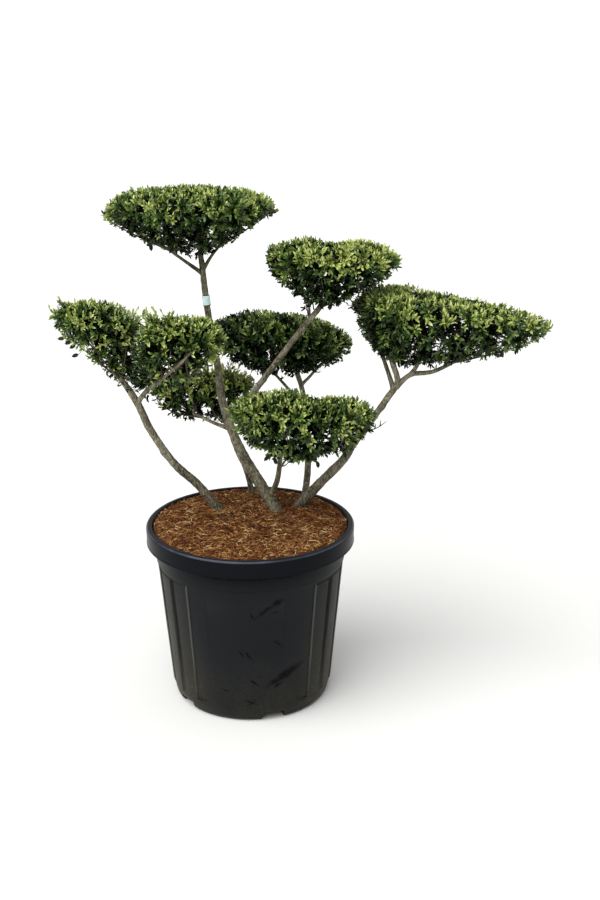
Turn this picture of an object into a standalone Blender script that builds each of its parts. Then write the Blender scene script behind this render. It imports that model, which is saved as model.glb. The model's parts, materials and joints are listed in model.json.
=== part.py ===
"""Cloud-pruned Japanese holly, several stems from one root, standing in its nursery pot.

Metres, +Z up. The origin is the centre of the pot's flat underside, and the shrub's
front faces -Y. Every stem, bough, foliage cloud and the pot with its filling is an
object of its own.
"""

import math
import random

import bmesh
import bpy
from mathutils import Matrix, Vector

# clearances
CLEAR = 0.0003  # between neighbours
MERGE = 0.00001

# pot
POT_HEIGHT = 0.450
POT_SIDES = 36
RIM_RADIUS = 0.2580
MOUTH_RADIUS = 0.2410
BAND_DEPTH = 0.049
BAND_LIP = 0.0015
SKIRT_THICK = 0.0035
COLLAR_RADIUS = 0.2340
COLLAR_FOOT = 0.365  # height of the collar's lower edge
WALL_TOP_RADIUS = 0.2290
WALL_FOOT_RADIUS = 0.1990
WALL_FOOT = 0.032
WALL_THICK = 0.0035
UNDERSIDE_RADIUS = 0.1850
FOOT_RING_INNER = 0.1470
FOOT_RING_HEIGHT = 0.0210
FOOT_RING_DRAFT = 0.0040  # slope of the ring's inner side
FLOOR_THICK = 0.0045
FLUTE_COUNT = 6  # on each side, between the plain front and back panels
FLUTE_FIRST_DEG = 41.5
FLUTE_SPAN_DEG = 97.0
FLUTE_GROOVE_DEG = 3.3
FLUTE_PROUD = 0.0026
FLUTE_TOP = 0.352
FLUTE_FOOT = 0.038
FLUTE_SINK = 0.0015  # how far its back is sunk into the wall
NOTCH_COUNT = 5
NOTCH_FIRST_DEG = 18.5  # from the front, towards +X
NOTCH_WIDTH_DEG = 18.5
NOTCH_HEIGHT = 0.0175
NOTCH_REACH = 0.060  # along the radius
NOTCH_SPLAY = 0.10  # how much narrower it is at its top
RIM_UNDERCUT = 0.012  # how far below the lip the space behind the band ends
EDGE = 0.005  # rounding of the lip and of the band's foot
FOOT_CHAMFER = (0.009, 0.010)  # out and up, at the underside's edge

# filling
MULCH_TOP = 0.4460
MULCH_EDGE = 0.4400
MULCH_FLAT_RADIUS = 0.2150

# limbs
LIMB_STEP = 0.048
LIMB_ENTRY = 0.95  # how far inside a cloud's skin a limb ends, 1 being the skin
FOOT_SINK = 0.040
FLARE = 0.22  # extra radius at the foot
FLARE_HEIGHT = 0.030

# foliage
CORE_INSET = 0.024
CORE_LUMP = 0.003
CORE_COLUMNS = 12
CORE_ROWS = 7
DOME_POWER = 2.5  # of the skin's curve above the middle plane: 2 is round, more is flatter
FLATTER = 0.6  # a cloud is inset by this share as much in height as in width
STUB_BEND = 0.020  # how far a bough's end runs straight on into its cloud
STUB_REACH = 0.55  # then on towards the middle, by this share of the way
STUB_WIDTHS = (0.94, 0.86, 0.56)  # shares of the bough's own radius
HUBS = 5  # where a cloud's twigs fork, besides its middle
HUB_SHARE = 0.5  # of the way from the middle to the skin
TWIG_BASE = 0.0034
TWIG_TIP = 0.0021
SPRAY_SPAN = 0.92  # how near the sprays come to the top and bottom, 1 being all the way
SPRAY_STRAY = 0.12
LEAF_LENGTH = 0.043
LEAF_WIDTH = 0.022
LEAF_THICK = 0.0028
LEAF_ROOT = 0.010  # how far back along its twig a leaf is rooted
LEAF_BELLY = 0.52  # where it is widest, as a share of its length
LEAF_FAN = 0.75  # how far the side leaves of a spray turn away
LEAF_RISE = 0.20
OWN_REACH = 1.06  # a leaf keeps this close to its own cloud's skin, 1 being the skin
OTHER_AIR = 0.10  # and this much deeper in its own cloud than in any other
LIMB_AIR = 0.003  # and this far from all bark
SEED = 17
GOLDEN = math.pi * (3 - math.sqrt(5))

# Each stem runs from the mulch to the cloud that it feeds: its way points, then its
# radius at the foot and at the tip.
STEMS = {
    "stem_left": {
        "feeds": "cloud_left", "radii": (0.0118, 0.0058),
        "way": [(-0.077, 0.085, MULCH_TOP), (-0.159, 0.061, 0.557), (-0.210, 0.047, 0.614),
                (-0.240, 0.036, 0.668), (-0.263, 0.020, 0.758), (-0.302, 0.006, 0.813),
                (-0.330, 0.000, 0.850)],
    },
    "stem_centre": {
        "feeds": "cloud_top", "radii": (0.0132, 0.0055),
        "way": [(0.069, 0.072, MULCH_TOP), (0.034, 0.069, 0.514), (-0.020, 0.065, 0.618),
                (-0.064, 0.060, 0.745), (-0.074, 0.057, 0.830), (-0.094, 0.051, 0.960),
                (-0.106, 0.047, 1.079), (-0.112, 0.044, 1.140)],
    },
    "stem_back_left": {
        "feeds": "cloud_back_left", "radii": (0.0076, 0.0056),
        "way": [(0.006, 0.195, MULCH_TOP), (-0.007, 0.192, 0.508), (-0.045, 0.184, 0.620),
                (-0.086, 0.176, 0.690)],
    },
    "stem_back": {
        "feeds": "cloud_back_centre", "radii": (0.0086, 0.0062),
        "way": [(0.140, 0.150, MULCH_TOP), (0.149, 0.176, 0.545), (0.144, 0.198, 0.708),
                (0.122, 0.203, 0.795)],
    },
    "stem_right": {
        "feeds": "cloud_right", "radii": (0.0128, 0.0068),
        "way": [(0.122, 0.105, MULCH_TOP), (0.178, 0.092, 0.515), (0.235, 0.078, 0.581),
                (0.263, 0.069, 0.632), (0.308, 0.058, 0.688), (0.361, 0.038, 0.796),
                (0.341, 0.030, 0.850)],
    },
}

# Each bough leaves its parent at a height and runs to its own cloud in the same way.
BOUGHS = {
    "bough_front": {
        "parent": "stem_centre", "leaves_at": 0.484, "feeds": "cloud_front", "radii": (0.0072, 0.0058),
        "way": [(0.066, 0.040, 0.536), (0.073, -0.016, 0.602), (0.074, -0.036, 0.650)],
    },
    "bough_left_inner": {
        "parent": "stem_left", "leaves_at": 0.752, "feeds": "cloud_left_inner", "radii": (0.0064, 0.0044),
        "way": [(-0.242, -0.007, 0.790), (-0.190, -0.065, 0.839), (-0.154, -0.106, 0.879)],
    },
    "bough_centre_low": {
        "parent": "stem_centre", "leaves_at": 0.668, "feeds": "cloud_back_left", "radii": (0.0050, 0.0038),
        "way": [(-0.097, 0.092, 0.682), (-0.140, 0.124, 0.696)],
    },
    "bough_upper": {
        "parent": "stem_centre", "leaves_at": 0.684, "feeds": "cloud_upper_right",
        "radii": (0.0078, 0.0066),
        "way": [(0.020, 0.044, 0.780), (0.121, 0.018, 0.922), (0.168, 0.004, 0.984),
                (0.196, 0.000, 1.030)],
    },
    "bough_upper_fork": {
        "parent": "bough_upper", "leaves_at": 0.955, "feeds": "cloud_upper_right",
        "radii": (0.0042, 0.0034),
        "way": [(0.142, 0.006, 0.985), (0.140, 0.004, 1.030)],
    },
    "bough_top_left": {
        "parent": "stem_centre", "leaves_at": 1.060, "feeds": "cloud_top", "radii": (0.0052, 0.0040),
        "way": [(-0.161, 0.026, 1.106), (-0.205, 0.010, 1.142)],
    },
    "bough_top_right": {
        "parent": "stem_centre", "leaves_at": 1.068, "feeds": "cloud_top", "radii": (0.0050, 0.0040),
        "way": [(-0.081, 0.037, 1.107), (-0.046, 0.022, 1.150)],
    },
    "bough_back_left": {
        "parent": "stem_back", "leaves_at": 0.694, "feeds": "cloud_back_centre", "radii": (0.0042, 0.0034),
        "way": [(0.111, 0.200, 0.732), (0.060, 0.200, 0.790)],
    },
    "bough_back_right": {
        "parent": "stem_back", "leaves_at": 0.742, "feeds": "cloud_back_centre", "radii": (0.0042, 0.0034),
        "way": [(0.158, 0.196, 0.768), (0.182, 0.190, 0.800)],
    },
    "bough_right_inner": {
        "parent": "stem_right", "leaves_at": 0.772, "feeds": "cloud_right", "radii": (0.0060, 0.0048),
        "way": [(0.331, 0.050, 0.806), (0.314, 0.052, 0.860)],
    },
    "bough_right_outer": {
        "parent": "stem_right", "leaves_at": 0.780, "feeds": "cloud_right", "radii": (0.0066, 0.0042),
        "way": [(0.394, 0.033, 0.812), (0.453, 0.021, 0.825), (0.540, 0.004, 0.878)],
    },
    "bough_right_middle": {
        "parent": "bough_right_outer", "leaves_at": 0.812, "feeds": "cloud_right",
        "radii": (0.0052, 0.0044),
        "way": [(0.408, 0.020, 0.842), (0.416, 0.012, 0.880)],
    },
}

# Each cloud is a clipped cushion: "middle" is its widest plane, with the reach from there
# to each side, the height of its dome and the depth of the cone below. "lean" moves the
# cone's point sideways, "slope" tips the plane along X, and a low "belly" makes the cone
# straighter. "sprays" is how many tufts of leaves stand out of it.
CLOUDS = {
    "cloud_top": {
        "middle": (-0.132, 0.030, 1.212), "left": 0.204, "right": 0.204, "front": 0.160, "back": 0.160,
        "dome": 0.060, "depth": 0.116, "lean": (0.022, 0.014), "slope": 0.02, "belly": 1.30,
        "sprays": 20,
    },
    "cloud_upper_right": {
        "middle": (0.201, 0.000, 1.105), "left": 0.161, "right": 0.161, "front": 0.122, "back": 0.122,
        "dome": 0.050, "depth": 0.118, "lean": (-0.018, 0.000), "slope": 0.00, "belly": 1.65,
        "sprays": 15,
    },
    "cloud_right": {
        "middle": (0.390, 0.030, 0.966), "left": 0.160, "right": 0.341, "front": 0.145, "back": 0.145,
        "dome": 0.058, "depth": 0.132, "lean": (-0.020, 0.004), "slope": -0.11, "belly": 1.45,
        "sprays": 24,
    },
    "cloud_back_centre": {
        "middle": (0.089, 0.200, 0.868), "left": 0.179, "right": 0.179, "front": 0.118, "back": 0.118,
        "dome": 0.060, "depth": 0.098, "lean": (0.020, 0.004), "slope": -0.11, "belly": 2.00,
        "sprays": 15,
    },
    "cloud_back_left": {
        "middle": (-0.115, 0.182, 0.744), "left": 0.142, "right": 0.142, "front": 0.098, "back": 0.098,
        "dome": 0.046, "depth": 0.084, "lean": (0.010, 0.000), "slope": 0.06, "belly": 1.80,
        "sprays": 11,
    },
    "cloud_front": {
        "middle": (0.124, -0.070, 0.752), "left": 0.180, "right": 0.182, "front": 0.108, "back": 0.100,
        "dome": 0.048, "depth": 0.130, "lean": (-0.014, 0.016), "slope": -0.06, "belly": 1.85,
        "sprays": 15,
    },
    "cloud_left": {
        "middle": (-0.356, 0.000, 0.958), "left": 0.114, "right": 0.114, "front": 0.100, "back": 0.100,
        "dome": 0.060, "depth": 0.138, "lean": (0.046, 0.004), "slope": -0.09, "belly": 1.45,
        "sprays": 11,
    },
    "cloud_left_inner": {
        "middle": (-0.150, -0.074, 0.930), "left": 0.120, "right": 0.108, "front": 0.092, "back": 0.088,
        "dome": 0.062, "depth": 0.116, "lean": (-0.030, 0.000), "slope": 0.02, "belly": 1.75,
        "sprays": 11,
    },
}

# plant label band round the middle stem
BAND_FROM = 0.984
BAND_TO = 1.008
BAND_WALL = 0.0014

COLOURS = {
    "charcoal polypropylene": ((0.024, 0.026, 0.028), 0.42),
    "coir and bark mulch": ((0.210, 0.090, 0.035), 0.95),
    "grey-brown bark": ((0.165, 0.135, 0.095), 0.85),
    "holly foliage": ((0.055, 0.110, 0.020), 0.45),
    "pale mint plastic": ((0.520, 0.730, 0.680), 0.50),
}


def clear_scene():
    for obj in list(bpy.data.objects):
        bpy.data.objects.remove(obj, do_unlink=True)


def material(name):
    """One Principled material for each finish, made when it is first asked for."""
    found = bpy.data.materials.get(name)
    if found:
        return found
    colour, roughness = COLOURS[name]
    made = bpy.data.materials.new(name)
    made.use_nodes = True
    shader = made.node_tree.nodes["Principled BSDF"]
    shader.inputs["Base Color"].default_value = (*colour, 1)
    shader.inputs["Roughness"].default_value = roughness
    shader.inputs["Metallic"].default_value = 0
    made.diffuse_color = (*colour, 1)
    return made


def add_object(name, mesh, finish):
    obj = bpy.data.objects.new(name, mesh)
    bpy.context.scene.collection.objects.link(obj)
    obj.data.materials.clear()
    obj.data.materials.append(material(finish))
    return obj


def mesh_from(bm, name):
    bmesh.ops.remove_doubles(bm, verts=bm.verts, dist=MERGE)
    bmesh.ops.recalc_face_normals(bm, faces=bm.faces)
    mesh = bpy.data.meshes.new(name)
    bm.to_mesh(mesh)
    bm.free()
    return mesh


def shade_round(obj, sharp_deg=35):
    obj.data.shade_smooth()
    obj.data.set_sharp_from_angle(angle=math.radians(sharp_deg))


def turned_mesh(name, profile, sides):
    """A closed profile of (radius, height) points, spun about Z."""
    bm = bmesh.new()
    corners = [bm.verts.new((radius, 0, height)) for radius, height in profile]
    edges = [bm.edges.new(pair) for pair in zip(corners, corners[1:])]
    if profile[0][0] > 0:
        edges.append(bm.edges.new((corners[-1], corners[0])))
    bmesh.ops.spin(bm, geom=corners + edges, cent=(0, 0, 0), axis=(0, 0, 1),
                   angle=math.tau, steps=sides, use_merge=True)
    return mesh_from(bm, name)


def front_turned(degrees):
    """The direction this many degrees from the front (-Y), towards +X."""
    angle = math.radians(degrees)
    return Vector((math.sin(angle), -math.cos(angle), 0))


def apply_boolean(obj, operation, other=None, collection=None, solver="EXACT"):
    cut = obj.modifiers.new(operation.lower(), "BOOLEAN")
    cut.operation = operation
    cut.solver = solver
    if collection:
        cut.operand_type = "COLLECTION"
        cut.collection = collection
    else:
        cut.object = other
    graph = bpy.context.evaluated_depsgraph_get()
    mesh = bpy.data.meshes.new_from_object(obj.evaluated_get(graph))
    obj.modifiers.clear()
    obj.data = mesh


def remove_object(obj):
    mesh = obj.data
    bpy.data.objects.remove(obj, do_unlink=True)
    bpy.data.meshes.remove(mesh)


def wall_radius(height):
    """Outer radius of the plain wall below the collar."""
    share = (height - WALL_FOOT) / (COLLAR_FOOT - WALL_FOOT)
    return WALL_FOOT_RADIUS + share * (WALL_TOP_RADIUS - WALL_FOOT_RADIUS)


def pot_profile():
    band_foot = POT_HEIGHT - BAND_DEPTH
    under_lip = POT_HEIGHT - RIM_UNDERCUT
    skirt = RIM_RADIUS - BAND_LIP - SKIRT_THICK
    inner_top = WALL_TOP_RADIUS - WALL_THICK
    inner_foot = WALL_FOOT_RADIUS - WALL_THICK
    return [
        (0, 0),
        (UNDERSIDE_RADIUS, 0),
        (UNDERSIDE_RADIUS + FOOT_CHAMFER[0], FOOT_CHAMFER[1]),
        (WALL_FOOT_RADIUS, WALL_FOOT),
        (WALL_TOP_RADIUS, COLLAR_FOOT - 0.004),
        (COLLAR_RADIUS, COLLAR_FOOT),
        (COLLAR_RADIUS + 0.0015, under_lip),
        (skirt, under_lip),
        (skirt - 0.001, band_foot),
        (RIM_RADIUS, band_foot),
        (RIM_RADIUS - BAND_LIP, band_foot + EDGE),
        (RIM_RADIUS - 0.0005, POT_HEIGHT - EDGE),
        (RIM_RADIUS - EDGE, POT_HEIGHT),
        (MOUTH_RADIUS + 0.7 * EDGE, POT_HEIGHT),
        (MOUTH_RADIUS, POT_HEIGHT - 0.8 * EDGE),
        (COLLAR_RADIUS - WALL_THICK, band_foot),
        (inner_top, COLLAR_FOOT - 0.002),
        (inner_foot, WALL_FOOT),
        (inner_foot - EDGE, FOOT_RING_HEIGHT),
        (FOOT_RING_INNER, FOOT_RING_HEIGHT),
        (FOOT_RING_INNER - FOOT_RING_DRAFT, FLOOR_THICK),
        (0, FLOOR_THICK),
    ]


def flute_mesh(centre_deg, width_deg):
    """A raised strip of the wall, its back sunk into it, tapering with the pot."""
    bm = bmesh.new()
    rings = []
    for height in (FLUTE_FOOT, FLUTE_TOP):
        radius = wall_radius(height)
        ring = []
        for share in (-0.5, 0, 0.5):
            ring.append(front_turned(centre_deg + share * width_deg) * (radius + FLUTE_PROUD))
        for share in (0.5, 0, -0.5):
            ring.append(front_turned(centre_deg + share * width_deg) * (radius - FLUTE_SINK))
        rings.append([bm.verts.new((p.x, p.y, height)) for p in ring])
    bm.faces.new(rings[0])
    top = bm.faces.new(reversed(rings[1]))
    for i in range(6):
        j = (i + 1) % 6
        bm.faces.new((rings[0][i], rings[0][j], rings[1][j], rings[1][i]))
    for corner in top.verts:
        if corner.co.xy.length > wall_radius(FLUTE_TOP):
            corner.co.z -= FLUTE_PROUD
    return mesh_from(bm, "flute")


def notch_mesh(centre_deg):
    """A block that cuts one drainage notch through the pot's foot, its sides splayed."""
    bm = bmesh.new()
    bmesh.ops.create_cube(bm, size=1)
    outward = front_turned(centre_deg)
    sideways = Vector((-outward.y, outward.x, 0))
    width = 2 * math.tan(math.radians(NOTCH_WIDTH_DEG / 2)) * UNDERSIDE_RADIUS
    for corner in bm.verts:
        along = UNDERSIDE_RADIUS + corner.co.x * NOTCH_REACH
        splay = 1 - NOTCH_SPLAY * (corner.co.z + 0.5)
        across = corner.co.y * width * splay
        height = -NOTCH_HEIGHT / 2 if corner.co.z < 0 else NOTCH_HEIGHT
        corner.co = outward * along + sideways * across + Vector((0, 0, height))
    return mesh_from(bm, "notch")


def make_pot():
    pot = add_object("pot", turned_mesh("pot", pot_profile(), POT_SIDES), "charcoal polypropylene")
    pitch = (FLUTE_SPAN_DEG + FLUTE_GROOVE_DEG) / FLUTE_COUNT
    width = pitch - FLUTE_GROOVE_DEG
    for side in (1, -1):
        for i in range(FLUTE_COUNT):
            centre = side * (FLUTE_FIRST_DEG + width / 2 + i * pitch)
            flute = add_object("flute", flute_mesh(centre, width), "charcoal polypropylene")
            apply_boolean(pot, "UNION", flute)
            remove_object(flute)
    for i in range(NOTCH_COUNT):
        notch = add_object("notch", notch_mesh(NOTCH_FIRST_DEG + i * 360 / NOTCH_COUNT),
                           "charcoal polypropylene")
        apply_boolean(pot, "DIFFERENCE", notch)
        remove_object(notch)
    shade_round(pot)


def make_mulch():
    """The root ball with its mulch fills the pot, clear of the wall."""
    band_foot = POT_HEIGHT - BAND_DEPTH
    back = 2 * CLEAR
    inner_foot = WALL_FOOT_RADIUS - WALL_THICK - back
    profile = [
        (0, FLOOR_THICK + CLEAR),
        (FOOT_RING_INNER - FOOT_RING_DRAFT - back, FLOOR_THICK + CLEAR),
        (FOOT_RING_INNER - back, FOOT_RING_HEIGHT + CLEAR),
        (inner_foot - EDGE, FOOT_RING_HEIGHT + CLEAR),
        (inner_foot, WALL_FOOT + CLEAR),
        (WALL_TOP_RADIUS - WALL_THICK - back, COLLAR_FOOT - 0.002 + CLEAR),
        (COLLAR_RADIUS - WALL_THICK - back, band_foot + CLEAR),
        (MOUTH_RADIUS - 0.0012 - back, MULCH_EDGE),
        (MULCH_FLAT_RADIUS, MULCH_TOP),
        (0, MULCH_TOP),
    ]
    mulch = add_object("mulch", turned_mesh("mulch", profile, POT_SIDES), "coir and bark mulch")
    shade_round(mulch)


def smooth_way(points, step):
    """Points along a Catmull-Rom curve through the way points, about one step apart."""
    ends = [2 * points[0] - points[1], *points, 2 * points[-1] - points[-2]]
    way = []
    for a, b, c, d in zip(ends, ends[1:], ends[2:], ends[3:]):
        count = max(1, round((c - b).length / step))
        for i in range(count):
            t = i / count
            way.append(0.5 * (2 * b + (c - a) * t + (2 * a - 5 * b + 4 * c - d) * t * t
                              + (3 * b - a - 3 * c + d) * t ** 3))
    way.append(points[-1])
    return way


def limb_radii(way, radii, flared):
    """A straight taper from foot to tip, with a short flare at a foot in the ground."""
    run = [0]
    for here, after in zip(way, way[1:]):
        run.append(run[-1] + (after - here).length)
    widths = []
    for place, length in zip(way, run):
        width = radii[0] + (radii[1] - radii[0]) * length / run[-1]
        if flared:
            width *= 1 + FLARE * math.exp(-max(0, place.z - MULCH_TOP) / FLARE_HEIGHT)
        widths.append(width)
    return widths


def tube_mesh(name, way, widths, resolution=2):
    """A round tapering tube with capped ends, from a bevelled curve."""
    curve = bpy.data.curves.new(name, "CURVE")
    curve.dimensions = "3D"
    curve.bevel_depth = 1
    curve.bevel_resolution = resolution
    curve.use_fill_caps = True
    spline = curve.splines.new("POLY")
    spline.points.add(len(way) - 1)
    for point, place, width in zip(spline.points, way, widths):
        point.co = (*place, 1)
        point.radius = width
    obj = bpy.data.objects.new(name, curve)
    bpy.context.scene.collection.objects.link(obj)
    graph = bpy.context.evaluated_depsgraph_get()
    mesh = bpy.data.meshes.new_from_object(obj.evaluated_get(graph))
    bpy.data.objects.remove(obj)
    bpy.data.curves.remove(curve)
    bm = bmesh.new()
    bm.from_mesh(mesh)
    bpy.data.meshes.remove(mesh)
    return mesh_from(bm, name)


def cut_flat(mesh, height):
    """Cuts away what is below this height and closes the cut."""
    bm = bmesh.new()
    bm.from_mesh(mesh)
    cut = bmesh.ops.bisect_plane(bm, geom=bm.verts[:] + bm.edges[:] + bm.faces[:],
                                 plane_co=(0, 0, height), plane_no=(0, 0, 1), clear_inner=True)
    rim = [item for item in cut["geom_cut"] if isinstance(item, bmesh.types.BMEdge)]
    bmesh.ops.holes_fill(bm, edges=rim, sides=0)
    bmesh.ops.recalc_face_normals(bm, faces=bm.faces)
    bm.to_mesh(mesh)
    bm.free()


def at_height(way, height):
    """The point and its share of the way where a limb first reaches a height."""
    for i, (here, after) in enumerate(zip(way, way[1:])):
        if here.z <= height <= after.z:
            share = (height - here.z) / (after.z - here.z)
            return here.lerp(after, share), i + share
    return way[-1], len(way) - 1


def enter_cloud(way, cloud):
    """The way cut off where it enters its cloud."""
    for i, (here, after) in enumerate(zip(way, way[1:])):
        if depth_in(cloud, after) > LIMB_ENTRY or depth_in(cloud, here) <= LIMB_ENTRY:
            continue
        outside, inside = here, after
        for _ in range(12):
            half = outside.lerp(inside, 0.5)
            if depth_in(cloud, half) > LIMB_ENTRY:
                outside = half
            else:
                inside = half
        kept = i + 1
        if (outside - way[i]).length < LIMB_STEP / 4:
            kept = max(1, i)
        return way[:kept] + [outside]
    return way


def make_limbs():
    """All stems, then all boughs. Returns the way and widths of each."""
    limbs = {}
    for name, stem in STEMS.items():
        points = [Vector(p) for p in stem["way"]]
        way = enter_cloud(smooth_way(points, LIMB_STEP), CLOUDS[stem["feeds"]])
        below = way[0] + (way[0] - way[1]).normalized() * FOOT_SINK
        way.insert(0, below)
        limbs[name] = (way, limb_radii(way, stem["radii"], True))
        obj = add_object(name, tube_mesh(name, *limbs[name]), "grey-brown bark")
        cut_flat(obj.data, MULCH_TOP + CLEAR)
        shade_round(obj, 50)
    for name, bough in BOUGHS.items():
        parent_way, parent_widths = limbs[bough["parent"]]
        root, _ = at_height(parent_way, bough["leaves_at"])
        points = [root] + [Vector(p) for p in bough["way"]]
        way = enter_cloud(smooth_way(points, LIMB_STEP), CLOUDS[bough["feeds"]])
        limbs[name] = (way, limb_radii(way, bough["radii"], False))
        obj = add_object(name, tube_mesh(name, *limbs[name]), "grey-brown bark")
        fatter = [width + CLEAR for width in parent_widths]
        around = add_object("around", tube_mesh("around", parent_way, fatter), "grey-brown bark")
        apply_boolean(obj, "DIFFERENCE", around)
        remove_object(around)
        shade_round(obj, 50)
    return limbs


def make_band(limbs):
    """A plain label band wrapped round the middle stem."""
    way, widths = limbs["stem_centre"]
    low, low_at = at_height(way, BAND_FROM)
    high, _ = at_height(way, BAND_TO)
    width = widths[int(low_at)] + CLEAR + BAND_WALL
    band = add_object("label_band", tube_mesh("label_band", [low, high], [width, width], 4),
                      "pale mint plastic")
    wider = [w + CLEAR for w in widths]
    around = add_object("around", tube_mesh("around", way, wider), "grey-brown bark")
    apply_boolean(band, "DIFFERENCE", around)
    remove_object(around)
    shade_round(band)


def reach(cloud, turn):
    """Half-widths of a cloud's plan on the side that an angle points to."""
    along_x = cloud["right"] if math.cos(turn) > 0 else cloud["left"]
    along_y = cloud["back"] if math.sin(turn) > 0 else cloud["front"]
    return along_x, along_y


def cloud_point(cloud, turn, tilt, inset=0.0):
    """A point of the cloud's skin: turn goes round it, tilt from -90 below to 90 on top."""
    along_x, along_y = reach(cloud, turn)
    power = DOME_POWER if tilt > 0 else cloud["belly"]
    height = cloud["dome"] if tilt > 0 else cloud["depth"]
    out = abs(math.cos(tilt)) ** (2 / power)
    up = math.copysign(abs(math.sin(tilt)) ** (2 / power), tilt)
    x = (along_x - inset) * math.cos(turn) * out
    y = (along_y - inset) * math.sin(turn) * out
    z = (height - FLATTER * inset) * up
    sink = max(0, -z / cloud["depth"])
    x += cloud["lean"][0] * sink
    y += cloud["lean"][1] * sink
    return Vector(cloud["middle"]) + Vector((x, y, z + cloud["slope"] * x))


def depth_in(cloud, place):
    """Below 1 inside a cloud's skin, 1 on it and more outside."""
    x, y, z = place - Vector(cloud["middle"])
    z -= cloud["slope"] * x
    sink = max(0, -z / cloud["depth"])
    x -= cloud["lean"][0] * sink
    y -= cloud["lean"][1] * sink
    along_x = cloud["right"] if x > 0 else cloud["left"]
    along_y = cloud["back"] if y > 0 else cloud["front"]
    power = DOME_POWER if z > 0 else cloud["belly"]
    height = cloud["dome"] if z > 0 else cloud["depth"]
    out = math.hypot(x / along_x, y / along_y)
    return (out ** power + abs(z / height) ** power) ** (1 / power)


def limb_clearance(place, limbs):
    """How far a point is from the nearest limb's bark."""
    least = 1.0
    for way, widths in limbs.values():
        for a, b, wide in zip(way, way[1:], widths):
            along = b - a
            t = min(1, max(0, (place - a).dot(along) / along.length_squared))
            least = min(least, (place - a - along * t).length - wide)
    return least


def spray_ends(cloud, rng):
    """Where the outermost leaves of a cloud end: its furthest tips, then an even spread."""
    ends = [cloud_point(cloud, turn * math.pi / 2, 0.02) for turn in range(4)]
    ends.append(cloud_point(cloud, 0, math.pi / 2))
    count = cloud["sprays"]
    for i in range(count):
        upright = 1 - 2 * (i + 0.5) / count
        tilt = math.asin(upright) * SPRAY_SPAN + rng.uniform(-SPRAY_STRAY, SPRAY_STRAY)
        turn = i * GOLDEN + rng.uniform(-SPRAY_STRAY, SPRAY_STRAY)
        ends.append(cloud_point(cloud, turn, tilt))
    return ends


def grow_twigs(cloud, head, rng):
    """Branches a cloud's twigs from one stem: the stem's head forks to a few hubs, and each
    hub to the sprays nearest to it. Returns (start, end, width at the start and end)."""
    middle = Vector(cloud["middle"])
    hubs = [middle.lerp(cloud_point(cloud, k * GOLDEN, 0.1), HUB_SHARE) for k in range(HUBS)]
    hubs.append(middle)
    twigs = [(head, hub, TWIG_BASE, TWIG_BASE) for hub in hubs]
    for end in spray_ends(cloud, rng):
        hub = min(hubs, key=lambda place: (place - end).length)
        tip = end + (hub - end).normalized() * (LEAF_LENGTH - LEAF_ROOT)
        twigs.append((hub, tip, TWIG_BASE, TWIG_TIP))
    return twigs, len(hubs)


def twig_mesh(start, end, wide, narrow):
    """A three-sided tapering twig."""
    bm = bmesh.new()
    bmesh.ops.create_cone(bm, cap_ends=True, cap_tris=True, segments=3, radius1=wide,
                          radius2=narrow, depth=(end - start).length)
    turn = (end - start).to_track_quat("Z", "Y").to_matrix().to_4x4()
    bmesh.ops.transform(bm, matrix=Matrix.Translation((start + end) / 2) @ turn, verts=bm.verts)
    return mesh_from(bm, "twig")


def leaf_corners(root, out, flat, length):
    """Root, tip, the two sides and the two faces of one leaf."""
    side = out.cross(flat).normalized()
    face = side.cross(out).normalized()
    belly = root + out * length * LEAF_BELLY
    return (root, root + out * length,
            belly + side * LEAF_WIDTH / 2, belly - side * LEAF_WIDTH / 2,
            belly + face * LEAF_THICK / 2, belly - face * LEAF_THICK / 2)


def leaf_mesh(corners):
    """A leaf of eight faces: a flattened double pyramid."""
    bm = bmesh.new()
    root, tip, left, right, above, below = [bm.verts.new(c) for c in corners]
    for a, b in ((left, above), (above, right), (right, below), (below, left)):
        bm.faces.new((root, a, b))
        bm.faces.new((tip, b, a))
    return mesh_from(bm, "leaf")


def core_mesh(cloud, rng):
    """The dense inside of a clipped cloud, a little lumpy."""
    bm = bmesh.new()
    bmesh.ops.create_uvsphere(bm, u_segments=CORE_COLUMNS, v_segments=CORE_ROWS, radius=1)
    for corner in bm.verts:
        turn = math.atan2(corner.co.y, corner.co.x)
        tilt = math.asin(max(-1, min(1, corner.co.z)))
        lump = rng.uniform(-CORE_LUMP, CORE_LUMP)
        corner.co = cloud_point(cloud, turn, tilt, CORE_INSET + lump)
    return mesh_from(bm, "core")


def fits(places, name, limbs):
    """True where every point is in this cloud's own space and clear of all limbs."""
    for place in places:
        own = depth_in(CLOUDS[name], place)
        if own > OWN_REACH or limb_clearance(place, limbs) < LIMB_AIR:
            return False
        others = [depth_in(c, place) for n, c in CLOUDS.items() if n != name]
        if min(others) < own + OTHER_AIR:
            return False
    return True


def spray_leaves(end, outward, rng):
    """One tuft: a leaf straight on from the twig and two beside it, rooted apart."""
    across = outward.orthogonal().normalized()
    across.rotate(Matrix.Rotation(rng.uniform(0, math.tau), 3, outward))
    made = [(end - outward * LEAF_ROOT, outward)]
    for side in (1, -1):
        out = (outward + across * side * LEAF_FAN + Vector((0, 0, LEAF_RISE))).normalized()
        made.append((end - outward * LEAF_ROOT + across * side * LEAF_WIDTH / 3, out))
    return made


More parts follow.
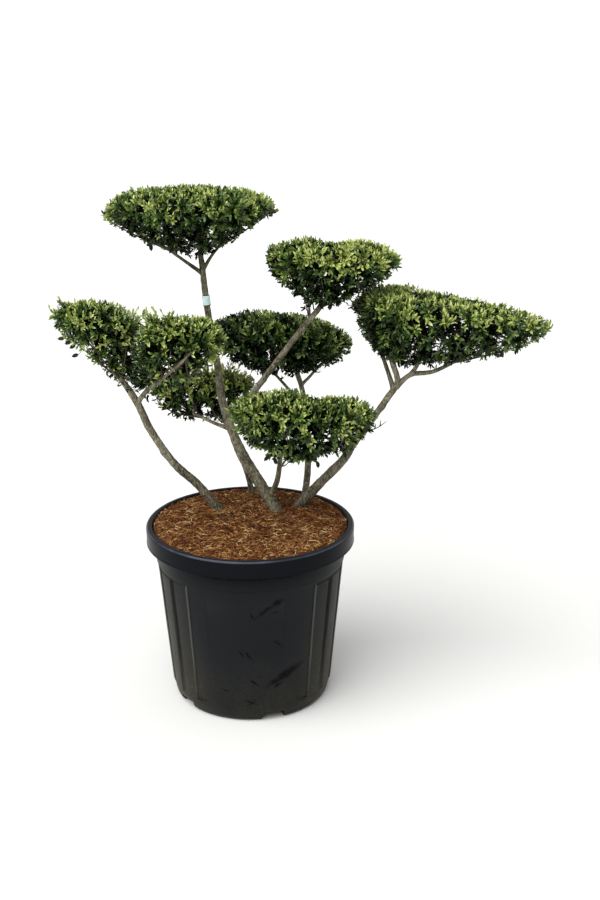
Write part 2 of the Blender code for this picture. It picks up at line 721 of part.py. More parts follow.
def drop_scraps(obj):
    """Keeps the largest closed piece: loose scraps go, and a sealed hollow is filled."""
    bm = bmesh.new()
    bm.from_mesh(obj.data)
    bmesh.ops.remove_doubles(bm, verts=bm.verts, dist=MERGE / 10)
    bm.faces.ensure_lookup_table()
    seen = set()
    pieces = []
    for face in bm.faces:
        if face in seen:
            continue
        piece = {face}
        queue = [face]
        while queue:
            for edge in queue.pop().edges:
                for near in edge.link_faces:
                    if near not in piece:
                        piece.add(near)
                        queue.append(near)
        seen |= piece
        pieces.append(piece)
    pieces.sort(key=len)
    spare = [face for piece in pieces[:-1] for face in piece]
    bmesh.ops.delete(bm, geom=spare, context="FACES")
    bm.to_mesh(obj.data)
    bm.free()


def make_cloud(name, limbs, seed):
    """Core, stem stubs, twigs and leaves of one cloud, joined into one solid."""
    cloud = CLOUDS[name]
    rng = random.Random(seed)
    pieces = bpy.data.collections.new(name + " pieces")
    middle = Vector(cloud["middle"])

    def add_piece(mesh):
        pieces.objects.link(bpy.data.objects.new("piece", mesh))

    feeders = [n for n, limb in {**STEMS, **BOUGHS}.items() if limb["feeds"] == name]
    for feeder in feeders:
        way, widths = limbs[feeder]
        onward = (way[-1] - way[-2]).normalized()
        start = way[-1] + onward * CLEAR
        bend = start + onward * STUB_BEND
        inside = bend.lerp(middle, STUB_REACH)
        stub_widths = [widths[-1] * share for share in STUB_WIDTHS]
        add_piece(tube_mesh("stub", [start, bend, inside], stub_widths, 1))
        if feeder == feeders[0]:
            head = inside
    twigs, trunk_count = grow_twigs(cloud, head, rng)
    for i, (start, end, wide, narrow) in enumerate(twigs):
        outward = (end - start).normalized()
        if i >= trunk_count and not fits([end], name, limbs):
            continue
        add_piece(twig_mesh(start, end, wide, narrow))
        if i < trunk_count:
            continue
        flat = (Vector((0, 0, 1)) + Vector([rng.uniform(-0.5, 0.5) for _ in range(3)])).normalized()
        for root, out in spray_leaves(end, outward, rng):
            corners = leaf_corners(root, out, flat, LEAF_LENGTH)
            if fits(corners[1:], name, limbs):
                add_piece(leaf_mesh(corners))
    obj = add_object(name, core_mesh(cloud, rng), "holly foliage")
    apply_boolean(obj, "UNION", collection=pieces, solver="MANIFOLD")
    for piece in list(pieces.objects):
        remove_object(piece)
    bpy.data.collections.remove(pieces)
    drop_scraps(obj)


def main():
    clear_scene()
    make_pot()
    make_mulch()
    limbs = make_limbs()
    make_band(limbs)
    for number, name in enumerate(CLOUDS):
        make_cloud(name, limbs, SEED + number)


main()
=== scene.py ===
import json
import math
import random

import bmesh
import bpy
import numpy as np
from mathutils import Matrix, Vector, noise

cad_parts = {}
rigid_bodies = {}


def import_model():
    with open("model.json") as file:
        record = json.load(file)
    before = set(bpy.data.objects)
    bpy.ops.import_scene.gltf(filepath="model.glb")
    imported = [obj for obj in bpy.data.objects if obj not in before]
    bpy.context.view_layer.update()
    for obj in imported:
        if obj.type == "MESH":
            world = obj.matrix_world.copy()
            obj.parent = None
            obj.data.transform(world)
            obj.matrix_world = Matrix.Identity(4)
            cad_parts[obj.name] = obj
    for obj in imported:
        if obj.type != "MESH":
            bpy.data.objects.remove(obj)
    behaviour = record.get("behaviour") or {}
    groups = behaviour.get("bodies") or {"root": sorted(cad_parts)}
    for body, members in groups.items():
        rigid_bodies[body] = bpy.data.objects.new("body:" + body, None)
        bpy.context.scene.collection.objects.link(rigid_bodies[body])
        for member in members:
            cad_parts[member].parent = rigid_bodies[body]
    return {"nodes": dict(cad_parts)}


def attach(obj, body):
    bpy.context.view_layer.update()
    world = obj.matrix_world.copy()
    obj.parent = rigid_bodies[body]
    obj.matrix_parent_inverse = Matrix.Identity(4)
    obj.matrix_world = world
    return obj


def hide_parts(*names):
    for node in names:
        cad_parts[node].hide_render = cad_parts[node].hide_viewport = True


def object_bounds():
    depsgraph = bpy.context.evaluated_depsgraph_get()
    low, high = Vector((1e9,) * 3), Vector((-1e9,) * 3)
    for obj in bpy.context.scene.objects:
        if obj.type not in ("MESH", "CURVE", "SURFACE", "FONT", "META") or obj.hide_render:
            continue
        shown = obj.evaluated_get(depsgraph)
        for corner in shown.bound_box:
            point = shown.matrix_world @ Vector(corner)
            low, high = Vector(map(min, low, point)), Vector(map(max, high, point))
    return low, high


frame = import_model()
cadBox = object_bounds()
mm = 0.001
golden = math.pi * (3 - math.sqrt(5))
print("frame loaded:", len(frame["nodes"]), "nodes")


# shared helpers

def hexColour(text):
    shares = [int(text[i:i + 2], 16) / 255 for i in (1, 3, 5)]
    linear = [c / 12.92 if c <= 0.04045 else ((c + 0.055) / 1.055) ** 2.4 for c in shares]
    return (*linear, 1)


def feed(tree, node, inputs):
    # inputs by name or in order: a node or socket is linked, and a hex text becomes a colour
    for name, value in inputs.items() if isinstance(inputs, dict) else enumerate(inputs):
        if isinstance(value, bpy.types.Node):
            value = next(socket for socket in value.outputs if socket.enabled)
        if isinstance(value, bpy.types.NodeSocket):
            tree.links.new(value, node.inputs[name])
        else:
            node.inputs[name].default_value = hexColour(value) if isinstance(value, str) else value


def addNode(tree, kind, settings=None, inputs=(), stops=()):
    node = tree.nodes.new("ShaderNode" + kind)
    for name, value in (settings or {}).items():
        setattr(node, name, value)
    feed(tree, node, inputs)
    for i, (place, colour) in enumerate(stops):
        points = node.color_ramp.elements
        point = points[i] if i < 2 else points.new(place)
        point.position = place
        point.color = hexColour(colour)
    return node


def newFinish(name, base, roughness, specular):
    finish = bpy.data.materials.new(name)
    finish.use_nodes = True
    finish.diffuse_color = hexColour(base)
    shader = finish.node_tree.nodes["Principled BSDF"]
    feed(finish.node_tree, shader, {"Base Color": base, "Roughness": roughness,
                                    "Specular IOR Level": specular})
    return finish, finish.node_tree, shader


def addPiece(name, mesh, finishes, slot, *nodes):
    piece = bpy.data.objects.new(name, mesh)
    bpy.context.scene.collection.objects.link(piece)
    for finish in finishes:
        mesh.materials.append(finish)
    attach(piece, "root")
    if nodes:
        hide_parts(*nodes)
    return piece


def meshOf(bm, name, sharp=35):
    mesh = bpy.data.meshes.new(name)
    bm.to_mesh(mesh)
    bm.free()
    mesh.shade_smooth()
    mesh.set_sharp_from_angle(angle=math.radians(sharp))
    return mesh


def arrayMesh(name, places, faceSets, toneSets):
    corners = np.concatenate([faces.ravel() for faces in faceSets])
    sizes = np.concatenate([np.full(len(faces), faces.shape[1]) for faces in faceSets])
    starts = np.concatenate([[0], np.cumsum(sizes)[:-1]])
    mesh = bpy.data.meshes.new(name)
    mesh.vertices.add(len(places))
    mesh.vertices.foreach_set("co", places.astype(np.float32).ravel())
    mesh.loops.add(len(corners))
    mesh.loops.foreach_set("vertex_index", corners.astype(np.int32))
    mesh.polygons.add(len(sizes))
    mesh.polygons.foreach_set("loop_start", starts.astype(np.int32))
    mesh.polygons.foreach_set("material_index", np.concatenate(toneSets).astype(np.int32))
    mesh.update(calc_edges=True)
    mesh.shade_smooth()
    return mesh


def unit(vectors):
    return vectors / np.maximum(np.linalg.norm(vectors, axis=-1, keepdims=True), 1e-9)


def tubeArrays(ways, widths, sides):
    # n tubes of k rings each: the corners of all rings, the walls and the two ends
    count, rings = ways.shape[:2]
    along = unit(np.gradient(ways, axis=1))
    upright = np.abs(along[:, :1, 2:]) > 0.9
    aside = np.where(upright, np.array([1.0, 0, 0]), np.array([0, 0, 1.0]))
    across = unit(np.cross(along, np.broadcast_to(aside, along.shape)))
    other = np.cross(along, across)
    turns = np.arange(sides) * math.tau / sides
    ring = (across[:, :, None] * np.cos(turns)[:, None] + other[:, :, None] * np.sin(turns)[:, None])
    places = ways[:, :, None] + ring * widths[:, :, None, None]
    index = np.arange(count * rings * sides).reshape(count, rings, sides)
    here, after = index, np.roll(index, -1, axis=2)
    walls = np.stack([here[:, :-1], after[:, :-1], after[:, 1:], here[:, 1:]], axis=-1).reshape(-1, 4)
    ends = np.concatenate([index[:, 0, ::-1], index[:, -1]])
    return places.reshape(-1, 3), walls, ends


def noiseAt(places, run, offset):
    shift = Vector((offset, 2.7 * offset, -1.3 * offset))
    return np.array([noise.noise(Vector(p) / (run * mm) + shift) for p in places])


# materials

# Marks on the front of the pot: place X and Z, half length and half width in mm, and turn in
# degrees. They are dark rubs where the dust is gone.
rubs = [
    (0, 298, 16, 2.6, -65), (33, 309, 46, 2.7, 39), (60, 327, 24, 7.0, 27), (58, 303, 10, 2.1, 3),
    (-26, 193, 14, 2.6, -49), (-8, 188, 19, 2.2, -52), (61, 217, 17, 1.9, -39),
    (6, 111, 18, 3.5, -47), (-64, 86, 13, 1.9, -15), (80, 126, 70, 9.5, 29), (62, 100, 18, 3.0, 30),
    (-2, 55, 24, 2.6, -29), (-3, 55, 18, 2.1, 37),
]
# Where the pot is dusty and worn, and where it carries painted highlights and painted shade, in mm
# and degrees. A pair is where a change starts and where it is full. The ridges and grooves follow
# the pot's flutes; the painted shade under the band and the painted highlight on the lip edge are set
# here too.
wearAndPaintedLight = {
    "clouding": 95, "grain": 4, "dust": (300, 0), "flank": (110, 240), "wall": (400, 360),
    "fluteTop": (355, 349), "fluteFoot": (20, 160), "ridgeAt": 42.3, "ridge": (0.75, 0.3),
    "flutesFrom": 41.5, "flutePitch": 16.717, "grooveAt": 15.07, "groove": (2.2, 1.4),
    "ragged": 14, "push": 12, "rubFront": -210, "rubDepth": 150, "rubWiden": 1.5,
    "tucked": (396, 402), "under": (406.8, 406.2), "lip": (255.3, 447.6), "lipEdge": (2.8, 1.0),
}
colourMix = {"data_type": "RGBA"}  # its inputs: 0 the share, 6 and 7 the two colours


def span(name):
    return [value * mm for value in wearAndPaintedLight[name]]


def farFrom(tree, value, middle):
    off = addNode(tree, "Math", {"operation": "SUBTRACT"}, (value, middle))
    return addNode(tree, "Math", {"operation": "ABSOLUTE"}, (off,))


def pottedPlastic():
    # Injection-moulded polypropylene, charcoal and satin. Its first flute ridge carries a painted
    # highlight, its grooves painted shade, and an olive dust lies low down and on the flanks.
    finish, tree, shader = newFinish("injection-moulded polypropylene", "#151617", 0.46, 0.15)
    place = addNode(tree, "TexCoord").outputs["Object"]
    across, along, height = addNode(tree, "SeparateXYZ", inputs=(place,)).outputs
    clouding = addNode(tree, "TexNoise", inputs={
        "Vector": place, "Scale": 1 / (wearAndPaintedLight["clouding"] * mm), "Detail": 5.0, "Roughness": 0.62})
    grain = addNode(tree, "TexNoise", inputs={"Vector": place, "Scale": 1 / (wearAndPaintedLight["grain"] * mm),
                                              "Detail": 3.0})
    low = addNode(tree, "MapRange", inputs=(height, *span("dust"), 0, 0.5))
    sideways = addNode(tree, "Math", {"operation": "ABSOLUTE"}, (across,))
    flank = addNode(tree, "MapRange", inputs=(sideways, *span("flank"), 0, 0.6))
    dusty = addNode(tree, "Math", {"operation": "ADD"}, (low, flank))
    patchy = addNode(tree, "Math", {"operation": "MULTIPLY"}, (dusty, clouding))
    wall = addNode(tree, "MapRange", inputs=(height, *span("wall")))
    dust = addNode(tree, "Math", {"operation": "MULTIPLY"}, (patchy, wall))
    speckled = addNode(tree, "Math", {"operation": "MULTIPLY"}, (dust, grain))
    share = addNode(tree, "MapRange", inputs=(speckled, 0.05, 0.38))
    coloured = addNode(tree, "ValToRGB", inputs=(share,), stops=[
        (0.0, "#090b0f"), (0.35, "#201f18"), (1.0, "#4f4832")])

    # the turn round the pot in degrees from the front, the same on both sides
    back = addNode(tree, "Math", {"operation": "MULTIPLY"}, (along, -1.0))
    turn = addNode(tree, "Math", {"operation": "ARCTAN2"}, (across, back))
    turned = addNode(tree, "Math", {"operation": "ABSOLUTE"}, (turn,))
    degrees = addNode(tree, "Math", {"operation": "DEGREES"}, (turned,))
    fluted = addNode(tree, "MapRange", inputs=(height, *span("fluteTop")))
    lower = addNode(tree, "MapRange", inputs=(height, *span("fluteFoot")))
    zone = addNode(tree, "Math", {"operation": "MULTIPLY"}, (fluted, lower))
    # painted highlight: the first flute ridge on each side is painted pale where light catches its edge
    fromRidge = farFrom(tree, degrees, wearAndPaintedLight["ridgeAt"])
    ridge = addNode(tree, "MapRange", inputs=(fromRidge, *wearAndPaintedLight["ridge"], 0, 0.7))
    ridgeHighlight = addNode(tree, "Math", {"operation": "MULTIPLY"}, (ridge, zone))
    ridgeHighlighted = addNode(tree, "Mix", colourMix, {0: ridgeHighlight, 6: coloured, 7: "#4a4a45"})
    # painted shade: the grooves between the flutes are painted near-black
    past = addNode(tree, "Math", {"operation": "SUBTRACT"}, (degrees, wearAndPaintedLight["flutesFrom"]))
    inFlute = addNode(tree, "Math", {"operation": "MODULO"}, (past, wearAndPaintedLight["flutePitch"]))
    fromGroove = farFrom(tree, inFlute, wearAndPaintedLight["grooveAt"])
    groove = addNode(tree, "MapRange", inputs=(fromGroove, *wearAndPaintedLight["groove"], 0, 0.85))
    deep = addNode(tree, "Math", {"operation": "MULTIPLY"}, (groove, zone))
    grooved = addNode(tree, "Mix", colourMix, {0: deep, 6: ridgeHighlighted, 7: "#060607"})

    # rubs: soft ellipses in the front's X and Z, pushed about and broken by a ragged pattern
    ragged = addNode(tree, "TexNoise", inputs={"Vector": place, "Scale": 1 / (wearAndPaintedLight["ragged"] * mm),
                                               "Detail": 4.0})
    push = wearAndPaintedLight["push"]
    pushed = addNode(tree, "VectorMath", {"operation": "MULTIPLY_ADD"}, (
        ragged.outputs["Color"], (push * mm, 0, push * mm), place))
    worn = None
    for x, z, half, wide, lean in rubs:
        centred = addNode(tree, "Mapping", {"vector_type": "TEXTURE"}, {
            "Vector": pushed, "Rotation": (0, -math.radians(lean), 0),
            "Location": ((x + push / 2) * mm, wearAndPaintedLight["rubFront"] * mm, (z + push / 2) * mm),
            "Scale": (half * mm, wearAndPaintedLight["rubDepth"] * mm, wearAndPaintedLight["rubWiden"] * wide * mm)})
        spot = addNode(tree, "TexGradient", {"gradient_type": "SPHERICAL"}, (centred,)).outputs["Fac"]
        worn = addNode(tree, "Math", {"operation": "MAXIMUM"}, (worn, spot)) if worn else spot
    broken = addNode(tree, "Math", {"operation": "MULTIPLY"}, (worn, ragged))
    scuffed = addNode(tree, "MapRange", inputs=(broken, 0.03, 0.34, 0, 0.8))

    # painted shade: the wall is painted black close under the band, where the band's overhang shades it,
    # along a ragged edge
    edge = addNode(tree, "SeparateXYZ", inputs=(pushed,)).outputs["Z"]
    tucked = addNode(tree, "MapRange", inputs=(edge, *span("tucked"), 0, 0.85))
    under = addNode(tree, "MapRange", inputs=(height, *span("under")))
    shade = addNode(tree, "Math", {"operation": "MULTIPLY"}, (tucked, under))
    rubsAndPaintedShade = addNode(tree, "Math", {"operation": "MAXIMUM"}, (scuffed, shade))
    rubbedOffAndShaded = addNode(tree, "Mix", colourMix, {0: rubsAndPaintedShade, 6: grooved, 7: "#050506"})

    # painted highlight: the lip's outer edge is painted pale and bluish where light glints on it, here
    # and there more
    flat = addNode(tree, "VectorMath", {"operation": "MULTIPLY"}, (place, (1, 1, 0)))
    radius = addNode(tree, "VectorMath", {"operation": "LENGTH"}, (flat,))
    away = [farFrom(tree, value, middle) for value, middle in zip((radius, height), span("lip"))]
    farthest = addNode(tree, "Math", {"operation": "MAXIMUM"}, away)
    onLip = addNode(tree, "MapRange", inputs=(farthest, *span("lipEdge")))
    uneven = addNode(tree, "MapRange", inputs=(clouding, 0.35, 0.60, 0.35, 1))
    lipHighlight = addNode(tree, "Math", {"operation": "MULTIPLY"}, (onLip, uneven))
    lipHighlighted = addNode(tree, "Mix", colourMix, {0: lipHighlight, 6: rubbedOffAndShaded, 7: "#3d4049"})

    # the band is smoother and darker than the wall, whose sheen changes from place to place
    sheen = addNode(tree, "MapRange", inputs=(clouding, 0.3, 0.7, 0.38, 0.58))
    gloss = addNode(tree, "Mix", {"data_type": "FLOAT"}, {0: wall, 2: 0.30, 3: sheen})
    dull = addNode(tree, "Math", {"operation": "MAXIMUM"}, (rubsAndPaintedShade, deep))
    inBand = addNode(tree, "MapRange", inputs=(wall, 0, 1, 0.65, 0))
    duller = addNode(tree, "Math", {"operation": "MAXIMUM"}, (dull, inBand))
    reflect = addNode(tree, "MapRange", inputs=(duller, 0, 1, 0.15, 0.02))
    moulded = addNode(tree, "Bump", inputs={"Height": grain, "Strength": 0.16, "Distance": 0.5 * mm})
    feed(tree, shader, {"Base Color": lipHighlighted, "Roughness": gloss, "Specular IOR Level": reflect,
                        "Normal": moulded})
    return finish


def hollyBark():
    # smooth grown bark: grey with olive-brown patches, dark specks, pale pores and a dull face;
    # it is darker near the mulch, and darker high up as painted shade under the foliage
    finish, tree, shader = newFinish("grown holly bark", "#77715f", 0.80, 0.3)
    place = addNode(tree, "TexCoord").outputs["Object"]
    drawn = addNode(tree, "Mapping", inputs={"Vector": place, "Scale": (1.0, 1.0, 0.5)})
    patches = addNode(tree, "TexNoise", inputs={"Vector": drawn, "Scale": 1 / (34 * mm), "Detail": 5.0,
                                                "Roughness": 0.6})
    speckle = addNode(tree, "TexNoise", inputs={"Vector": drawn, "Scale": 1 / (4.5 * mm), "Detail": 4.0,
                                                "Roughness": 0.8})
    pores = addNode(tree, "TexVoronoi", inputs={"Vector": place, "Scale": 1 / (6.5 * mm)})
    mixed = addNode(tree, "Mix", {"data_type": "FLOAT"}, {0: 0.62, 2: patches, 3: speckle})
    height = addNode(tree, "SeparateXYZ", inputs=(place,)).outputs["Z"]
    lower = addNode(tree, "MapRange", inputs=(height, 0.46, 0.64, -0.055, 0.01))
    # painted shade: the bark is darker high up, where the foliage shades it
    upper = addNode(tree, "MapRange", inputs=(height, 0.80, 0.98, 0, -0.07))
    shift = addNode(tree, "Math", {"operation": "ADD"}, (lower, upper))
    toned = addNode(tree, "Math", {"operation": "ADD"}, (mixed, shift))
    tinted = addNode(tree, "ValToRGB", inputs=(toned,), stops=[
        (0.36, "#1d1a0f"), (0.44, "#474232"), (0.53, "#716c58"), (0.66, "#aaa594")])
    dots = addNode(tree, "MapRange", inputs=(pores, 0.16, 0.10, 0, 0.5))
    dotted = addNode(tree, "Mix", colourMix, {0: dots, 6: tinted, 7: "#c4bca8"})
    rough = addNode(tree, "Bump", inputs={"Height": mixed, "Strength": 0.8, "Distance": 1.3 * mm})
    feed(tree, shader, {"Base Color": dotted, "Normal": rough})
    return finish


def rootBall():
    # peat and coir pressed into the pot: dark red-brown crumbs that show between the shreds
    finish, tree, shader = newFinish("pressed coir and peat", "#3a2012", 0.95, 0.2)
    place = addNode(tree, "TexCoord").outputs["Object"]
    crumbs = addNode(tree, "TexNoise", inputs={"Vector": place, "Scale": 1 / (5 * mm), "Detail": 6.0,
                                               "Roughness": 0.7})
    tinted = addNode(tree, "ValToRGB", inputs=(crumbs,), stops=[
        (0.34, "#1d0f08"), (0.5, "#43250f"), (0.68, "#7d4b29")])
    crumbly = addNode(tree, "Bump", inputs={"Height": crumbs, "Strength": 0.9, "Distance": 2 * mm})
    feed(tree, shader, {"Base Color": tinted, "Normal": crumbly})
    return finish


def labelPlastic():
    # printed-film polypropylene with nothing on it: pale mint, a little glossy, faintly creased
    finish, tree, shader = newFinish("pale mint polypropylene film", "#cfe9e3", 0.38, 0.4)
    place = addNode(tree, "TexCoord").outputs["Object"]
    creases = addNode(tree, "TexNoise", inputs={"Vector": place, "Scale": 1 / (9 * mm), "Detail": 2.0})
    tinted = addNode(tree, "ValToRGB", inputs=(creases,), stops=[(0.3, "#b4d3cf"), (0.7, "#e3f2f1")])
    feed(tree, shader, {"Base Color": tinted})
    return finish


# Waxy leaves from the darkest tones, painted shade for the inside, to this season's tips, whose pale
# tones also carry painted light from above; glossier as they get fresher. They are dealt out by spray.
leafTones = ["#040d02", "#0b1805", "#15270b", "#243914", "#395120", "#556c2d", "#778b3e", "#9eaa5a"]
leafFinishes = [newFinish(f"waxy holly leaf {i + 1}", tone, 0.40, 0.06 + 0.08 * i)[0]
                for i, tone in enumerate(leafTones)]
# young wood is olive and smooth, older twigs are grey-brown
twigFinishes = [newFinish("grey-brown twig wood", "#423c2d", 0.8, 0.3)[0],
                newFinish("olive young wood", "#43472a", 0.6, 0.4)[0]]
# torn coir and bark, from wet and dark to dry and pale
mulchTones = ["#26120a", "#482611", "#6d3f1c", "#91602f", "#b3874f", "#d3b684"]
mulchFinishes = [newFinish(f"torn coir shred {i + 1}", tone, 0.9, 0.2)[0]
                 for i, tone in enumerate(mulchTones)]
plasticFinish = pottedPlastic()
barkFinish = hollyBark()
rootBallFinish = rootBall()
labelFinish = labelPlastic()
tieFinish = newFinish("dark rubber tie", "#23261f", 0.7, 0.3)[0]
print("materials made")


# The plant's layout in millimetres. Each stem runs from the mulch to the cloud it feeds, and
# its radii are spread evenly along it.

mulchTop = 446
stems = {
    "stem_left": {"feeds": "cloud_left", "radii": (11.8, 11.0, 10.4, 9.4, 9.2, 8.8, 6.4), "way": [
        (-77, 85, mulchTop), (-131, 73, 522), (-178, 63, 571), (-208, 54, 615), (-243, 40, 681),
        (-269, 21, 752), (-302, 6, 813), (-330, 0, 850)]},
    "stem_centre": {"feeds": "cloud_top", "way": [
        (69, 72, mulchTop), (31, 69, 514), (-25, 65, 618), (-65, 60, 745), (-74, 57, 830),
        (-94, 51, 960), (-106, 47, 1079), (-112, 44, 1140)],
        "radii": (11.8, 14.9, 14.6, 11.8, 9.4, 8.6, 7.8, 7.4, 6.4)},
    "stem_back_left": {"feeds": "cloud_back_left", "radii": (7.6, 5.6), "way": [
        (6, 195, mulchTop), (-7, 192, 508), (-45, 184, 620), (-86, 176, 690)]},
    "stem_back": {"feeds": "cloud_back_centre", "radii": (9.2, 6.2), "way": [
        (140, 150, mulchTop), (151, 176, 545), (141, 198, 708), (117, 203, 795)]},
    "stem_right": {"feeds": "cloud_right", "radii": (12.8, 12.5, 11.6, 9.8, 8.6, 7.6, 6.8), "way": [
        (122, 105, mulchTop), (178, 92, 515), (235, 78, 581), (262, 69, 632), (301, 58, 688),
        (343, 45, 756), (362, 38, 793), (346, 32, 850)]},
}

# each bough leaves its parent at a height
boughs = {
    "bough_front": {"parent": "stem_centre", "leavesAt": 484, "feeds": "cloud_front",
                    "radii": (7.2, 5.8), "way": [(66, 40, 536), (73, -16, 602), (74, -36, 650)]},
    "bough_left_inner": {"parent": "stem_left", "leavesAt": 752, "feeds": "cloud_left_inner",
                         "radii": (6.0, 2.8), "outside": True, "way": [
                             (-240, -25, 797), (-213, -80, 829), (-178, -126, 867),
                             (-150, -142, 894), (-134, -136, 911)]},
    "bough_centre_low": {"parent": "stem_centre", "leavesAt": 668, "feeds": "cloud_back_left",
                         "radii": (5.0, 3.8), "way": [(-97, 92, 682), (-140, 124, 696)]},
    "bough_upper": {"parent": "stem_centre", "leavesAt": 684, "feeds": "cloud_upper_right",
                    "radii": (7.8, 6.6), "way": [(20, 44, 780), (121, 18, 922), (168, 4, 984),
                                                 (196, 0, 1030)]},
    "bough_upper_fork": {"parent": "bough_upper", "leavesAt": 955, "feeds": "cloud_upper_right",
                         "radii": (3.1, 2.3), "way": [(145, 6, 990), (140, 4, 1030)]},
    "bough_top_left": {"parent": "stem_centre", "leavesAt": 1060, "feeds": "cloud_top",
                       "radii": (4.6, 3.1), "way": [(-161, 26, 1106), (-205, 10, 1142)]},
    "bough_top_right": {"parent": "stem_centre", "leavesAt": 1068, "feeds": "cloud_top",
                        "radii": (4.2, 3.0), "way": [(-81, 37, 1107), (-46, 22, 1150)]},
    "bough_back_left": {"parent": "stem_back", "leavesAt": 694, "feeds": "cloud_back_centre",
                        "radii": (4.2, 3.4), "way": [(108, 200, 726), (56, 200, 786)]},
    "bough_back_right": {"parent": "stem_back", "leavesAt": 742, "feeds": "cloud_back_centre",
                         "radii": (4.2, 3.4), "way": [(158, 196, 768), (182, 190, 800)]},
    "bough_right_inner": {"parent": "stem_right", "leavesAt": 772, "feeds": "cloud_right",
                          "radii": (5.8, 4.6), "way": [(343, 50, 806), (324, 52, 860)]},
    "bough_right_outer": {"parent": "stem_right", "leavesAt": 780, "feeds": "cloud_right",
                          "radii": (6.6, 4.2), "way": [(394, 33, 812), (453, 21, 825), (540, 4, 878)]},
    "bough_right_middle": {"parent": "bough_right_outer", "leavesAt": 812, "feeds": "cloud_right",
                           "radii": (5.2, 4.4), "way": [(408, 20, 842), (416, 12, 880)]},
}
